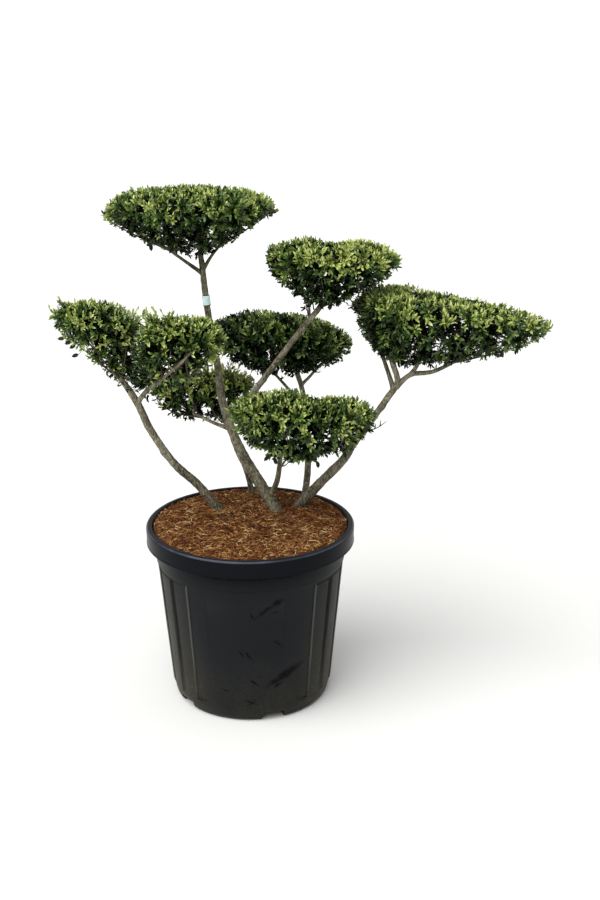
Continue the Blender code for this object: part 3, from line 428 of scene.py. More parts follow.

# Each cloud is a clipped cushion round its widest plane. Pairs are for its left and right:
# "belly" shapes the underside and "round" the dome, whose height changes by "rise" along X.
# "dips" are hollows along X in the dome. "sprays" is how many leafy shoots end on the skin,
# "fresh" how far this season's growth has come, "paler" how much lighter the sprays are at the top
# than below, where they are fresher and carry painted light from above, "bright" how much fresher
# towards +X and "gaps" how open the cloud is. "tufts" stand out of the skin, "bridges" are boxes
# with a number of tufts in them, "edgeRibs" are side limbs along the skin in degrees, "spurs" thin
# bare twigs and "leaves" single leaves with their lean.
clouds = {
    "cloud_top": {
        "middle": (-132, 30, 1212), "left": 204, "right": 204, "front": 160, "back": 160,
        "dome": 60, "depth": 116, "lean": (22, 14), "slope": 0.02, "belly": (1.30, 1.06),
        "round": (3.0, 2.5), "sprays": 1100, "fresh": 0.50, "bright": 0.02, "gaps": 0.14,
        "tufts": [(-333, 30, 1207), (-325, 30, 1220), (-313, 30, 1229), (69, 30, 1220),
                  (66, 30, 1204), (57, 30, 1232), (-124, 30, 1105), (-72, 30, 1119),
                  (-53, 30, 1135), (-37, 30, 1145)],
        "edgeRibs": [196, -14], "leaves": [(-222, 0, 1141, 0.1, -1)]},
    "cloud_upper_right": {
        "middle": (201, 0, 1105), "left": 163, "right": 161, "front": 122, "back": 122,
        "dome": 51, "depth": 118, "lean": (-18, 0), "slope": -0.02, "belly": (1.42, 1.42),
        "round": (3.2, 2.2), "dips": [(-112, 42, 9), (-4, 34, 13)],
        "sprays": 860, "fresh": 0.60, "paler": 0.55, "bright": 0.04, "gaps": 0.10,
        "tufts": [(54, 0, 1133), (61, 0, 1144), (49, 0, 1121), (128, 0, 998), (137, 0, 988),
                  (194, 0, 1002), (210, 0, 1007)],
        "leaves": [(205, -10, 1008, 0.8, -0.5), (196, -10, 1000, -0.2, -0.8)],
        "spurs": [((143, 6, 966), (137, 6, 997), (126, 6, 1024)),
                  ((156, 4, 981), (153, 4, 999), (148, 4, 1024))]},
    "cloud_right": {
        "middle": (390, 30, 966), "left": 143, "right": 341, "front": 145, "back": 145,
        "dome": 58, "depth": 132, "lean": (-20, 4), "slope": -0.11, "rise": -0.055,
        "belly": (1.50, 1.48), "round": (2.6, 4.0), "sprays": 1450, "fresh": 0.57, "paler": 0.52,
        "bright": 0.10, "gaps": 0.03,
        "bridges": [((228, -20, 982), (258, 20, 1020), 14), ((440, 5, 882), (620, 60, 912), 34)],
        "tufts": [(630, 0, 892), (649, 0, 896), (666, 0, 901), (614, 0, 882), (595, 0, 875)],
        "edgeRibs": [-10], "leaves": [(601, -10, 880, 0.5, -1)],
        "spurs": [((490, 15, 861), (495, 15, 842)), ((502, 15, 866), (509, 15, 847)),
                  ((513, 12, 870), (523, 12, 853)), ((478, 15, 852), (481, 15, 839))]},
    "cloud_back_centre": {
        "middle": (89, 200, 868), "left": 179, "right": 179, "front": 118, "back": 118,
        "dome": 65, "depth": 98, "lean": (6, 4), "slope": -0.11, "belly": (2.40, 1.36),
        "round": (2.8, 2.9), "sprays": 880, "fresh": 0.38, "paler": 0.30, "bright": 0.09, "gaps": 0.10,
        "tufts": [(-66, 176, 842), (-56, 176, 826), (-38, 170, 831), (-21, 170, 818), (-3, 170, 805),
                  (14, 170, 791), (34, 170, 783), (-41, 170, 815), (-30, 168, 823),
                  (5, 168, 798), (24, 168, 788)]},
    "cloud_back_left": {
        "middle": (-115, 182, 744), "left": 142, "right": 142, "front": 98, "back": 98,
        "dome": 46, "depth": 84, "lean": (10, 0), "slope": 0.06, "belly": (2.30, 1.80),
        "round": (2.5, 2.5), "sprays": 500, "fresh": 0.61, "bright": 0.00, "gaps": 0.46,
        "bridges": [((-72, 145, 772), (8, 178, 806), 18), ((-74, 145, 795), (-24, 175, 828), 14)],
        "tufts": [(-21, 160, 789), (-4, 160, 776), (11, 160, 766), (-32, 160, 769),
                  (-229, 160, 729), (-217, 160, 705), (-200, 160, 689), (-180, 160, 675)],
        "spurs": [((-66, 75, 682), (-84, 78, 703), (-100, 92, 738))]},
    "cloud_front": {
        "middle": (124, -70, 752), "left": 180, "right": 182, "front": 108, "back": 100,
        "dome": 49, "depth": 130, "lean": (-14, 16), "slope": -0.06, "belly": (1.62, 1.80),
        "round": (2.5, 2.9), "dips": [(46, 34, 13)],
        "sprays": 940, "fresh": 0.56, "paler": 0.12, "bright": 0.00, "gaps": 0.20,
        "tufts": [(34, -90, 670), (44, -90, 655), (55, -90, 642), (37, -90, 658), (62, -90, 636),
                  (48, -90, 646), (79, -90, 638), (148, -90, 644),
                  (157, -90, 633), (138, -90, 651), (205, -90, 655), (219, -90, 663),
                  (250, -90, 790), (265, -90, 783), (279, -90, 775), (291, -90, 766)],
        "leaves": [(58, -90, 646, 0.3, -1), (46, -90, 652, -0.6, -0.8), (160, -90, 636, 0.2, -1),
                   (222, -90, 660, 0.4, -1)],
        "spurs": [((268, -84, 706), (290, -80, 709), (307, -80, 716), (324, -80, 729)),
                  ((297, -80, 712), (299, -80, 724)), ((309, -80, 717), (311, -80, 733)),
                  ((76, -30, 603), (86, -32, 606), (98, -38, 620))]},
    "cloud_left": {
        "middle": (-356, 0, 958), "left": 114, "right": 114, "front": 100, "back": 100,
        "dome": 55, "depth": 138, "lean": (46, 4), "slope": -0.10, "belly": (1.18, 1.45),
        "round": (2.3, 2.0), "sprays": 520, "fresh": 0.63, "paler": 0.12, "bright": -0.03, "gaps": 0.36,
        "tufts": [(-440, 0, 1024), (-436, 0, 1016), (-432, 0, 1008), (-463, 0, 1001),
                  (-461, 0, 991), (-268, 0, 992), (-254, 0, 997), (-242, 0, 989),
                  (-334, 0, 824), (-325, 0, 816), (-316, 0, 805), (-338, 0, 829)],
        "bridges": [((-330, -34, 842), (-284, -12, 890), 16), ((-288, -28, 796), (-232, 6, 868), 30)],
        "leaves": [(-428, -10, 921, -1, -0.1), (-413, -10, 913, -0.9, -0.3),
                   (-404, -10, 906, -0.8, -0.5), (-398, -10, 882, -0.9, -0.3),
                   (-336, -10, 864, -0.9, -0.4)]},
    "cloud_left_inner": {
        "middle": (-150, -74, 930), "left": 120, "right": 108, "front": 92, "back": 88,
        "dome": 62, "depth": 116, "lean": (-30, 0), "slope": 0.02, "belly": (1.75, 1.75),
        "round": (2.5, 2.5), "sprays": 500, "fresh": 0.65, "paler": 0.17, "bright": 0.10, "gaps": 0.30,
        "tufts": [(-226, -60, 995), (-213, -60, 997), (-199, -60, 1002), (-183, -60, 997),
                  (-244, -60, 999), (-233, -60, 1006), (-221, -60, 1010), (-172, -60, 1003),
                  (-258, -60, 841), (-251, -60, 824), (-239, -60, 831), (-231, -60, 818)],
        "bridges": [((-294, -45, 984), (-216, 5, 850), 44), ((-238, -84, 974), (-172, -44, 1000), 18),
                    ((-292, -30, 868), (-222, 12, 808), 26), ((-272, -25, 815), (-238, 8, 784), 9)],
        "spurs": [((-200, -105, 844), (-198, -120, 870), (-205, -122, 892))]},
}

# the rule for limbs and clouds
growth = {
    "limbEntry": 0.95, "footSink": 40, "flare": 0.10, "flareHeight": 24,
    "flatter": 0.6, "stubBend": 20, "stubReach": 0.55,
    "hubs": 5, "hubShare": 0.5, "otherAir": 0.08, "looseAbove": 1.2,
    "seed": 17,
}


def metres(point):
    return Vector(point) * mm


def smoothWay(points, step):
    ends = [2 * points[0] - points[1], *points, 2 * points[-1] - points[-2]]
    way = []
    for a, b, c, d in zip(ends, ends[1:], ends[2:], ends[3:]):
        count = max(1, round((c - b).length / step))
        for i in range(count):
            t = i / count
            way.append(0.5 * (2 * b + (c - a) * t + (2 * a - 5 * b + 4 * c - d) * t * t
                              + (3 * b - a - 3 * c + d) * t ** 3))
    way.append(points[-1])
    return way


def between(pair, toRight):
    return pair[0] + (pair[1] - pair[0]) * (toRight + 1) / 2


def heightOf(cloud, above, x):
    dome = cloud["dome"] * mm + cloud.get("rise", 0) * x
    for middle, width, deep in cloud.get("dips", ()):
        dome = dome - deep * mm * np.exp(-((x / mm - middle) / width) ** 2)
    return np.where(above, dome, cloud["depth"] * mm)


def cloudPoint(cloud, turn, tilt, inset=0.0):
    # points of the cloud's skin: turn goes round it, tilt from below to the top
    turn, tilt = np.asarray(turn, float), np.asarray(tilt, float)
    alongX = np.where(np.cos(turn) > 0, cloud["right"], cloud["left"]) * mm
    alongY = np.where(np.sin(turn) > 0, cloud["back"], cloud["front"]) * mm
    power = np.where(tilt > 0, between(cloud["round"], np.cos(turn)),
                     between(cloud["belly"], np.cos(turn)))
    out = np.abs(np.cos(tilt)) ** (2 / power)
    up = np.sign(tilt) * np.abs(np.sin(tilt)) ** (2 / power)
    x = (alongX - inset) * np.cos(turn) * out
    y = (alongY - inset) * np.sin(turn) * out
    z = (heightOf(cloud, tilt > 0, x) - growth["flatter"] * inset) * up
    sink = np.maximum(0, -z / (cloud["depth"] * mm))
    x = x + cloud["lean"][0] * mm * sink
    y = y + cloud["lean"][1] * mm * sink
    return np.stack([x, y, z + cloud["slope"] * x], axis=-1) + np.array(cloud["middle"]) * mm


def depthIn(cloud, places):
    # below 1 inside a cloud's skin, 1 on it and more outside
    x, y, z = np.moveaxis(np.asarray(places, float) - np.array(cloud["middle"]) * mm, -1, 0)
    z = z - cloud["slope"] * x
    sink = np.maximum(0, -z / (cloud["depth"] * mm))
    x = x - cloud["lean"][0] * mm * sink
    y = y - cloud["lean"][1] * mm * sink
    alongX = np.where(x > 0, cloud["right"], cloud["left"]) * mm
    alongY = np.where(y > 0, cloud["back"], cloud["front"]) * mm
    out = np.hypot(x / alongX, y / alongY)
    toRight = x / alongX / np.maximum(out, 1e-9)
    power = np.where(z > 0, between(cloud["round"], toRight), between(cloud["belly"], toRight))
    height = heightOf(cloud, z > 0, x)
    return (out ** power + np.abs(z / height) ** power) ** (1 / power)


def atHeight(way, height):
    for here, after in zip(way, way[1:]):
        if here.z <= height <= after.z:
            return here.lerp(after, (height - here.z) / (after.z - here.z))
    return way[-1]


def enterCloud(way, cloud):
    # the way cut off where it enters its cloud
    for i, (here, after) in enumerate(zip(way, way[1:])):
        if depthIn(cloud, after) > growth["limbEntry"] or depthIn(cloud, here) <= growth["limbEntry"]:
            continue
        outside, inside = here, after
        for _ in range(12):
            half = outside.lerp(inside, 0.5)
            if depthIn(cloud, half) > growth["limbEntry"]:
                outside = half
            else:
                inside = half
        return way[:i + 1] + [outside]
    return way


def runLengths(way):
    run = [0.0]
    for here, after in zip(way, way[1:]):
        run.append(run[-1] + (after - here).length)
    return run


# pot

potSizes = {  # millimetres and degrees, the same form as the solid's with its fine edges
    "height": 450, "rim": 258, "mouth": 241, "bandDepth": 43, "bandLip": 1.5, "skirt": 3.5,
    "collar": 234, "collarFoot": 365, "wallTop": 229, "wallFoot": 199, "wallFootHeight": 32,
    "wall": 3.5, "underside": 185, "chamfer": (9, 10), "ring": 147, "ringHeight": 21,
    "ringDraft": 4, "floor": 4.5, "undercut": 12, "edge": 5, "columns": 180,
    "flutes": 6, "fluteFirst": 41.5, "fluteSpan": 97, "groove": 3.3, "proud": 2.6,
    "fluteTop": 352, "fluteFoot": 38, "fluteSlope": 3.0, "ridge": 0.9,
    "notches": 5, "notchFirst": 15.2, "notchWidth": 18.5, "notchHeight": 21, "notchReach": 60,
    "notchSplay": 0.10, "panel": (-29, 20.5), "panelHeights": (190, 322), "panelSunk": 0.45,
    "unevenness": 0.35, "unevenRun": 85, "soften": 1.1, "softened": (2, 3, *range(6, 17)),
    "cuts": (110, 150, 230, 270),
}


def frontTurned(degrees):
    angle = math.radians(degrees)
    return Vector((math.sin(angle), -math.cos(angle), 0))


def wallRadius(height):
    p = potSizes
    share = (height - p["wallFootHeight"]) / (p["collarFoot"] - p["wallFootHeight"])
    return p["wallFoot"] + share * (p["wallTop"] - p["wallFoot"])


def potProfile():
    # outer side from the middle of the underside to the lip, then down the inner side
    p = potSizes
    bandFoot = p["height"] - p["bandDepth"]
    underLip = p["height"] - p["undercut"]
    skirt = p["rim"] - p["bandLip"] - p["skirt"]
    innerFoot = p["wallFoot"] - p["wall"]
    return [
        (0, 0), (p["underside"], 0), (p["underside"] + p["chamfer"][0], p["chamfer"][1]),
        (p["wallFoot"], p["wallFootHeight"]), (p["wallTop"], p["collarFoot"] - 4),
        (p["collar"], p["collarFoot"]), (p["collar"] + 1.5, underLip), (skirt, underLip),
        (skirt - 1, bandFoot), (p["rim"], bandFoot), (p["rim"] - p["bandLip"], bandFoot + p["edge"]),
        (p["rim"] - 0.5, p["height"] - p["edge"]), (p["rim"] - p["edge"], p["height"]),
        (p["mouth"] + 0.7 * p["edge"], p["height"]), (p["mouth"], p["height"] - 0.8 * p["edge"]),
        (p["collar"] - p["wall"], bandFoot), (p["wallTop"] - p["wall"], p["collarFoot"] - 2),
        (innerFoot, p["wallFootHeight"]), (innerFoot - p["edge"], p["ringHeight"]),
        (p["ring"], p["ringHeight"]), (p["ring"] - p["ringDraft"], p["floor"]), (0, p["floor"]),
    ]


def wallFaces(bm, low, high, fromDeg, toDeg):
    found = []
    for face in bm.faces:
        middle = face.calc_center_median()
        turn = math.degrees(math.atan2(middle.x, -middle.y))
        outside = middle.xy.length > (wallRadius(middle.z / mm) - 1.5) * mm
        if outside and low * mm < middle.z < high * mm and fromDeg < turn < toDeg:
            found.append(face)
    return found


def turnProfile(profile, columns, softened=()):
    # a profile spun about the pot's axis, some of its corners softened first
    bm = bmesh.new()
    corners = [bm.verts.new((radius * mm, 0, height * mm)) for radius, height in profile]
    for pair in zip(corners, corners[1:]):
        bm.edges.new(pair)
    if softened:
        bmesh.ops.bevel(bm, geom=[corners[i] for i in softened], offset=potSizes["soften"] * mm,
                        offset_type="OFFSET", affect="VERTICES", segments=2, profile=0.5, material=-1)
    bmesh.ops.spin(bm, geom=bm.verts[:] + bm.edges[:], cent=(0, 0, 0), axis=(0, 0, 1),
                   angle=math.tau, steps=columns, use_merge=True)
    bmesh.ops.remove_doubles(bm, verts=bm.verts, dist=0.01 * mm)
    bmesh.ops.recalc_face_normals(bm, faces=bm.faces)
    return bm


def makePot():
    p = potSizes
    bm = turnProfile(potProfile(), p["columns"], p["softened"])
    pitch = (p["fluteSpan"] + p["groove"]) / p["flutes"]
    width = pitch - p["groove"]
    flutes = []
    for side in (1, -1):
        for i in range(p["flutes"]):
            centre = side * (p["fluteFirst"] + width / 2 + i * pitch)
            flutes.append((centre - width / 2, centre + width / 2))
    for turn in [edge for flute in flutes for edge in flute] + list(p["panel"]):
        outward = frontTurned(turn)
        bmesh.ops.bisect_plane(bm, geom=bm.verts[:] + bm.edges[:] + bm.faces[:], dist=0.05 * mm,
                               plane_co=(0, 0, 0), plane_no=(outward.y, -outward.x, 0))
    for height in (p["fluteFoot"], p["fluteTop"], *p["panelHeights"], *p["cuts"]):
        bmesh.ops.bisect_plane(bm, geom=bm.verts[:] + bm.edges[:] + bm.faces[:], dist=0.05 * mm,
                               plane_co=(0, 0, height * mm), plane_no=(0, 0, 1))
    for low, high in flutes:
        faces = wallFaces(bm, p["fluteFoot"], p["fluteTop"], low, high)
        slopes = bmesh.ops.inset_region(bm, faces=faces, thickness=p["fluteSlope"] * mm,
                                        depth=p["proud"] * mm, use_even_offset=True)["faces"]
        plateau = set(faces)
        ridges = [e for f in slopes for e in f.edges if any(g in plateau for g in e.link_faces)]
        bmesh.ops.bevel(bm, geom=list(set(ridges)), offset=p["ridge"] * mm, affect="EDGES",
                        segments=2, profile=0.5, material=-1)
    panel = wallFaces(bm, *p["panelHeights"], *p["panel"])
    bmesh.ops.inset_region(bm, faces=panel, thickness=0.9 * mm, depth=-p["panelSunk"] * mm,
                           use_even_offset=True)
    for corner in bm.verts:
        if corner.co.xy.length > 1 * mm and corner.co.z > p["chamfer"][1] * mm:
            outward = Vector((*corner.co.xy.normalized(), 0))
            swell = noise.noise(corner.co / (p["unevenRun"] * mm)) - 0.5
            corner.co += outward * swell * p["unevenness"] * mm
    pot = addPiece("pot_shell", meshOf(bm, "pot_shell", 30), [plasticFinish], "pot", "pot")
    for i in range(p["notches"]):
        cutNotch(pot, p["notchFirst"] + i * 360 / p["notches"])
    return pot


def cutNotch(pot, turn):
    # a drainage notch through the foot, narrower at its top
    p = potSizes
    bm = bmesh.new()
    bmesh.ops.create_cube(bm, size=1)
    outward = frontTurned(turn)
    sideways = Vector((-outward.y, outward.x, 0))
    width = 2 * math.tan(math.radians(p["notchWidth"] / 2)) * p["underside"]
    for corner in bm.verts:
        along = p["underside"] + corner.co.x * p["notchReach"]
        across = corner.co.y * width * (1 - p["notchSplay"] * (corner.co.z + 0.5))
        height = -p["notchHeight"] / 2 if corner.co.z < 0 else p["notchHeight"]
        corner.co = (outward * along + sideways * across + Vector((0, 0, height))) * mm
    cutter = bpy.data.objects.new("notch", meshOf(bm, "notch"))
    bpy.context.scene.collection.objects.link(cutter)
    cut = pot.modifiers.new("notch", "BOOLEAN")
    cut.operation = "DIFFERENCE"
    cut.object = cutter
    graph = bpy.context.evaluated_depsgraph_get()
    mesh = bpy.data.meshes.new_from_object(pot.evaluated_get(graph))
    pot.modifiers.clear()
    pot.data = mesh
    mesh.name = "pot_shell"
    bpy.data.objects.remove(cutter)


makePot()
print("pot made")


# mulch

mulchSizes = {
    "top": 448, "edge": 446, "flat": 215, "rings": 34, "columns": 120, "bump": 2.2, "bumpRun": 26,
    "shreds": 15500, "heaped": 160, "length": (8, 32), "width": (0.6, 1.8), "tilt": 26, "layer": 3.0,
    "toneShares": (0.15, 0.21, 0.26, 0.22, 0.12, 0.04), "chips": 260, "chipSize": (4, 12),
    "clumpRun": 34, "reach": 238.5, "proud": 5, "heapStart": 1.1, "heapReach": 13, "heapWide": 1.25,
    "heapHeight": 6, "chipThick": 1.6, "chipShares": (0.3, 0.2, 0.2, 0.15, 0.1, 0.05), "seed": 5,
}


def bedHeight(radius):
    # the filling lies level and falls a little to the wall
    m = mulchSizes
    share = np.clip((radius / mm - m["flat"]) / (potSizes["mouth"] - m["flat"]), 0, 1)
    return (m["top"] - (m["top"] - m["edge"]) * share) * mm


def makeRootBall():
    p, m = potSizes, mulchSizes
    back = 0.6
    bandFoot = p["height"] - p["bandDepth"]
    innerFoot = p["wallFoot"] - p["wall"] - back
    profile = [
        (0, p["floor"] + 0.3), (p["ring"] - p["ringDraft"] - back, p["floor"] + 0.3),
        (p["ring"] - back, p["ringHeight"] + 0.3), (innerFoot - p["edge"], p["ringHeight"] + 0.3),
        (innerFoot, p["wallFootHeight"] + 0.3),
        (p["wallTop"] - p["wall"] - back, p["collarFoot"] - 1.7),
        (p["collar"] - p["wall"] - back, bandFoot + 0.3), (p["mouth"] - 1.8, m["edge"] - 1),
    ]
    reach = p["mouth"] - 4
    for i in range(m["rings"] + 1):
        radius = reach * (1 - i / m["rings"])
        profile.append((radius, bedHeight(radius * mm) / mm - 1.5))
    bm = turnProfile(profile, m["columns"])
    for corner in bm.verts:
        if corner.co.z > (m["edge"] - 3) * mm and corner.co.xy.length < reach * mm:
            corner.co.z += (noise.noise(corner.co / (m["bumpRun"] * mm)) - 0.4) * m["bump"] * mm
    addPiece("root_ball", meshOf(bm, "root_ball", 60), [rootBallFinish], "mulch", "mulch")


def makeShreds():
    m = mulchSizes
    rng = np.random.default_rng(m["seed"])
    count = m["shreds"]
    radius = np.sqrt((np.arange(count) + 0.5) / count) * m["reach"] * mm
    turn = np.arange(count) * golden + rng.uniform(-0.3, 0.3, count)
    length = rng.uniform(*m["length"], count) * rng.uniform(0.6, 1.0, count) * mm
    half = rng.uniform(*m["width"], count) / 2 * mm
    heading = rng.uniform(0, math.tau, count)
    rise = np.radians(rng.normal(0, m["tilt"] / 2, count))
    level = bedHeight(radius) + rng.uniform(-0.5, 1, count) * m["layer"] * mm
    middle = np.stack([radius * np.cos(turn), radius * np.sin(turn), level], axis=-1)
    # some lie heaped round the foot of each stem
    mixed = rng.permutation(count)
    for i, stem in enumerate(stems.values()):
        some = mixed[i * m["heaped"]:(i + 1) * m["heaped"]]
        around = rng.uniform(0, math.tau, m["heaped"])
        foot = stem["radii"][0] * m["heapStart"]
        away = (foot + rng.uniform(0, 1, m["heaped"]) ** 1.5 * m["heapReach"]) * mm
        near = 1 - away / (foot + m["heapReach"]) / mm
        middle[some] = np.stack([stem["way"][0][0] * mm + away * np.cos(around) * m["heapWide"],
                                 stem["way"][0][1] * mm + away * np.sin(around),
                                 (m["top"] + m["heapHeight"] * near) * mm], -1)
        heading[some] = around + math.pi / 2 + rng.normal(0, 0.5, m["heaped"])
    out = np.stack([np.cos(heading) * np.cos(rise), np.sin(heading) * np.cos(rise), np.sin(rise)], -1)
    bow = np.stack([-np.sin(heading), np.cos(heading), np.zeros(count)], -1)
    bow = bow * (rng.normal(0, 0.16, count) * length)[:, None]
    bow[:, 2] += rng.uniform(-0.02, 0.14, count) * length
    shares = np.array([-0.5, -0.17, 0.2, 0.5])
    ways = middle[:, None] + out[:, None] * length[:, None, None] * shares[:, None]
    ways += bow[:, None] * (1 - (2 * shares) ** 2)[:, None]
    ends = ways[:, [0, -1]]
    inside = (np.hypot(ends[..., 0], ends[..., 1]) < m["reach"] * mm).all(axis=1)
    inside &= ways[..., 2].max(axis=1) < (potSizes["height"] + m["proud"]) * mm
    ways, half = ways[inside], half[inside]
    widths = half[:, None] * np.array([0.35, 1.0, 0.85, 0.2])
    # the tones gather in wet and dry patches
    patch = noiseAt(ways[:, 0], m["clumpRun"], 3) * 0.9
    draw = np.clip(rng.uniform(0, 1, len(ways)) + patch * 0.35, 0, 0.9999)
    tones = np.searchsorted(np.cumsum(m["toneShares"]), draw).clip(0, len(mulchTones) - 1)
    for name, some in (("mulch_back", ways[:, 0, 1] > 0), ("mulch_front", ways[:, 0, 1] <= 0)):
        places, walls, caps = tubeArrays(ways[some], widths[some], 3)
        mesh = arrayMesh(name, places, [walls, caps],
                         [np.repeat(tones[some], 9), np.tile(tones[some], 2)])
        addPiece(name, mesh, mulchFinishes, "mulch", "mulch")
    return len(ways)


def makeChips():
    # flat flakes of bark in the mulch's tones
    m = mulchSizes
    rng = np.random.default_rng(m["seed"] + 1)
    count = m["chips"]
    radius = np.sqrt(rng.uniform(0, 1, count)) * (m["reach"] - 9) * mm
    turn = rng.uniform(0, math.tau, count)
    size = rng.uniform(*m["chipSize"], count) * mm * rng.uniform(0.5, 1, count)
    middle = np.stack([radius * np.cos(turn), radius * np.sin(turn),
                       bedHeight(radius) + rng.uniform(0.5, 3.5, count) * mm], -1)
    flat = unit(np.stack([rng.normal(0, 0.35, count), rng.normal(0, 0.35, count), np.ones(count)], -1))
    ways = middle[:, None] + flat[:, None] * (np.array([-0.5, 0.5]) * m["chipThick"] * mm)[:, None]
    widths = (size / 2)[:, None] * np.array([1.0, 0.86])
    places, walls, caps = tubeArrays(ways, widths, 6)
    shape = places.reshape(count, 2, 6, 3)
    stretch = rng.uniform(0.45, 1.3, (count, 1, 6, 1))
    centre = ways[:, :, None]
    shape = centre + (shape - centre) * stretch
    tones = rng.choice(len(mulchTones), count, p=m["chipShares"])
    mesh = arrayMesh("mulch_chips", shape.reshape(-1, 3), [walls, caps],
                     [np.repeat(tones, 6), np.concatenate([tones, tones])])
    mesh.set_sharp_from_angle(angle=math.radians(35))
    addPiece("mulch_chips", mesh, mulchFinishes, "mulch", "mulch")


makeRootBall()
print("mulch made:", makeShreds(), "shreds")
makeChips()


# stems and boughs

barkSizes = {
    "stem": {"sides": 24, "step": 3.2}, "bough": {"sides": 16, "step": 3.6},
    "relief": ((60, 0.085), (17, 0.060), (6, 0.050)),  # run in mm, and height as a share of the radius
    "collar": 0.45, "collarRun": 11,  # how much a bough widens where it leaves its parent
    "scarEvery": (14, 34), "scar": 0.055, "scarRun": 2.4,
    "seed": 23,
}
# old pruning wounds and side spurs: limb, height, degrees from the front, size
knots = [
    ("stem_left", 612, -95, 4.2), ("stem_left", 566, 60, 3.0), ("stem_left", 716, 40, 2.8),
    ("stem_centre", 560, 10, 3.0), ("stem_centre", 640, 20, 3.0), ("stem_centre", 1000, 60, 2.2),
    ("stem_right", 556, -60, 4.2), ("stem_right", 628, 25, 4.6), ("stem_right", 724, 90, 3.2),
    ("stem_back", 600, 80, 2.4), ("bough_upper", 800, 100, 2.2), ("bough_left_inner", 788, 20, 2.4),
]


def limbWay(name, limbs):
    # the limb's own run as in the solid, then on inside its cloud to where its twigs fork;
    # a limb marked "outside" keeps its whole way along its cloud's skin
    limb = stems.get(name) or boughs[name]
    cloud = clouds[limb["feeds"]]
    points = [metres(p) for p in limb["way"]]
    kind = "stem" if name in stems else "bough"
    step = barkSizes[kind]["step"] * mm
    if name in boughs:
        points.insert(0, atHeight(limbs[limb["parent"]]["way"], limb["leavesAt"] * mm))
    way = smoothWay(points, step)
    if not limb.get("outside"):
        way = enterCloud(way, cloud)
    if name in stems:
        start = way[0]
        down = (way[0] - way[1]).normalized() * growth["footSink"] * mm
        way = [start + down * share for share in (1, 0.66, 0.33)] + way
    run = runLengths(way)
    radii = list(np.interp(np.array(run) / run[-1], np.linspace(0, 1, len(limb["radii"])), limb["radii"]))
    if name in stems:
        radii = [r * (1 + growth["flare"] * math.exp(-max(0, place.z - mulchTop * mm)
                                                     / (growth["flareHeight"] * mm)))
                 for r, place in zip(radii, way)]
    else:
        radii = [r * (1 + barkSizes["collar"] * math.exp(-s / (barkSizes["collarRun"] * mm)))
                 for r, s in zip(radii, run)]
    onward = (way[-1] - way[-2]).normalized()
    bend = way[-1] + onward * growth["stubBend"] * mm
    head = bend.lerp(metres(cloud["middle"]), growth["stubReach"])
    inner = smoothWay([way[-1], bend, head], step)[1:]
    tip = radii[-1]
    for i, place in enumerate(inner):
        radii.append(tip * (1 - 0.42 * (i + 1) / len(inner)))
    return {"way": way + inner, "radii": [r * mm for r in radii], "head": head, "outer": len(way)}


def ringMatrices(way, radii):
    # each ring's place, turned along the limb without twisting
    tangents = [(b - a).normalized() for a, b in zip([way[0], *way], [*way[1:], way[-1]])]
    tangents[0] = (way[1] - way[0]).normalized()
    tangents = [(tangents[max(0, i - 1)] + tangents[i]).normalized() for i in range(len(way))]
    across = tangents[0].orthogonal().normalized()
    made = []
    for i, (place, radius) in enumerate(zip(way, radii)):
        if i:
            across.rotate(tangents[i - 1].rotation_difference(tangents[i]))
        other = tangents[i].cross(across)
        turn = Matrix((across, other, tangents[i])).transposed().to_4x4()
        made.append(Matrix.Translation(place) @ turn @ Matrix.Diagonal((radius, radius, radius, 1)))
    return made


def carryRing(bm, places):
    # the mesh's one ring is drawn out through the places; its last edges come back
    edges = bm.edges[:]
    bmesh.ops.transform(bm, matrix=places[0], verts=bm.verts[:])
    for before, after in zip(places, places[1:]):
        made = bmesh.ops.extrude_edge_only(bm, edges=edges)["geom"]
        ring = [item for item in made if isinstance(item, bmesh.types.BMVert)]
        kept = set(ring)
        edges = [item for item in made if isinstance(item, bmesh.types.BMEdge)
                 and item.verts[0] in kept and item.verts[1] in kept]
        bmesh.ops.transform(bm, matrix=after @ before.inverted(), verts=ring)
    return edges


def makeLimb(name, limbs, rng):
    limb = limbs[name]
    kind = barkSizes["stem" if name in stems else "bough"]
    run = runLengths(limb["way"])
    scars = []
    at = 0
    while at < run[-1]:
        at += rng.uniform(*barkSizes["scarEvery"]) * mm
        scars.append(at)
    radii = [r * (1 + sum(barkSizes["scar"] * math.exp(-((s - scar) / (barkSizes["scarRun"] * mm)) ** 2)
                          for scar in scars if abs(s - scar) < 8 * mm))
             for r, s in zip(limb["radii"], run)]
    places = ringMatrices(limb["way"], radii)
    bm = bmesh.new()
    bmesh.ops.create_circle(bm, cap_ends=True, segments=kind["sides"], radius=1)
    bmesh.ops.edgeloop_fill(bm, edges=carryRing(bm, places))
    bmesh.ops.recalc_face_normals(bm, faces=bm.faces)
    bm.normal_update()
    size = sum(limb["radii"]) / len(limb["radii"])
    wounds = [(woundPlace(limb, height, turn), amount * mm) for where, height, turn, amount in knots
              if where == name]
    for corner in bm.verts:
        raised = sum(share * noise.noise(corner.co / (wave * mm)) for wave, share in barkSizes["relief"])
        corner.co += corner.normal * raised * size
        for place, amount in wounds:
            away = (corner.co - place).length / (2.2 * amount)
            if away < 2:
                corner.co += corner.normal * amount * 0.7 * (math.exp(-away * away)
                                                             - 0.55 * math.exp(-(3 * away) ** 2))
    addPiece(name + "_bark", meshOf(bm, name + "_bark", 60), [barkFinish], "bark", name)


def woundPlace(limb, height, turn):
    nearest = min(range(len(limb["way"])), key=lambda i: abs(limb["way"][i].z - height * mm))
    return limb["way"][nearest] + frontTurned(turn) * limb["radii"][nearest]


limbs = {}
barkRandom = random.Random(barkSizes["seed"])
for limbName in [*stems, *boughs]:
    limbs[limbName] = limbWay(limbName, limbs)
    makeLimb(limbName, limbs, barkRandom)
print("stems and boughs made:", len(limbs))


# label band round the middle stem

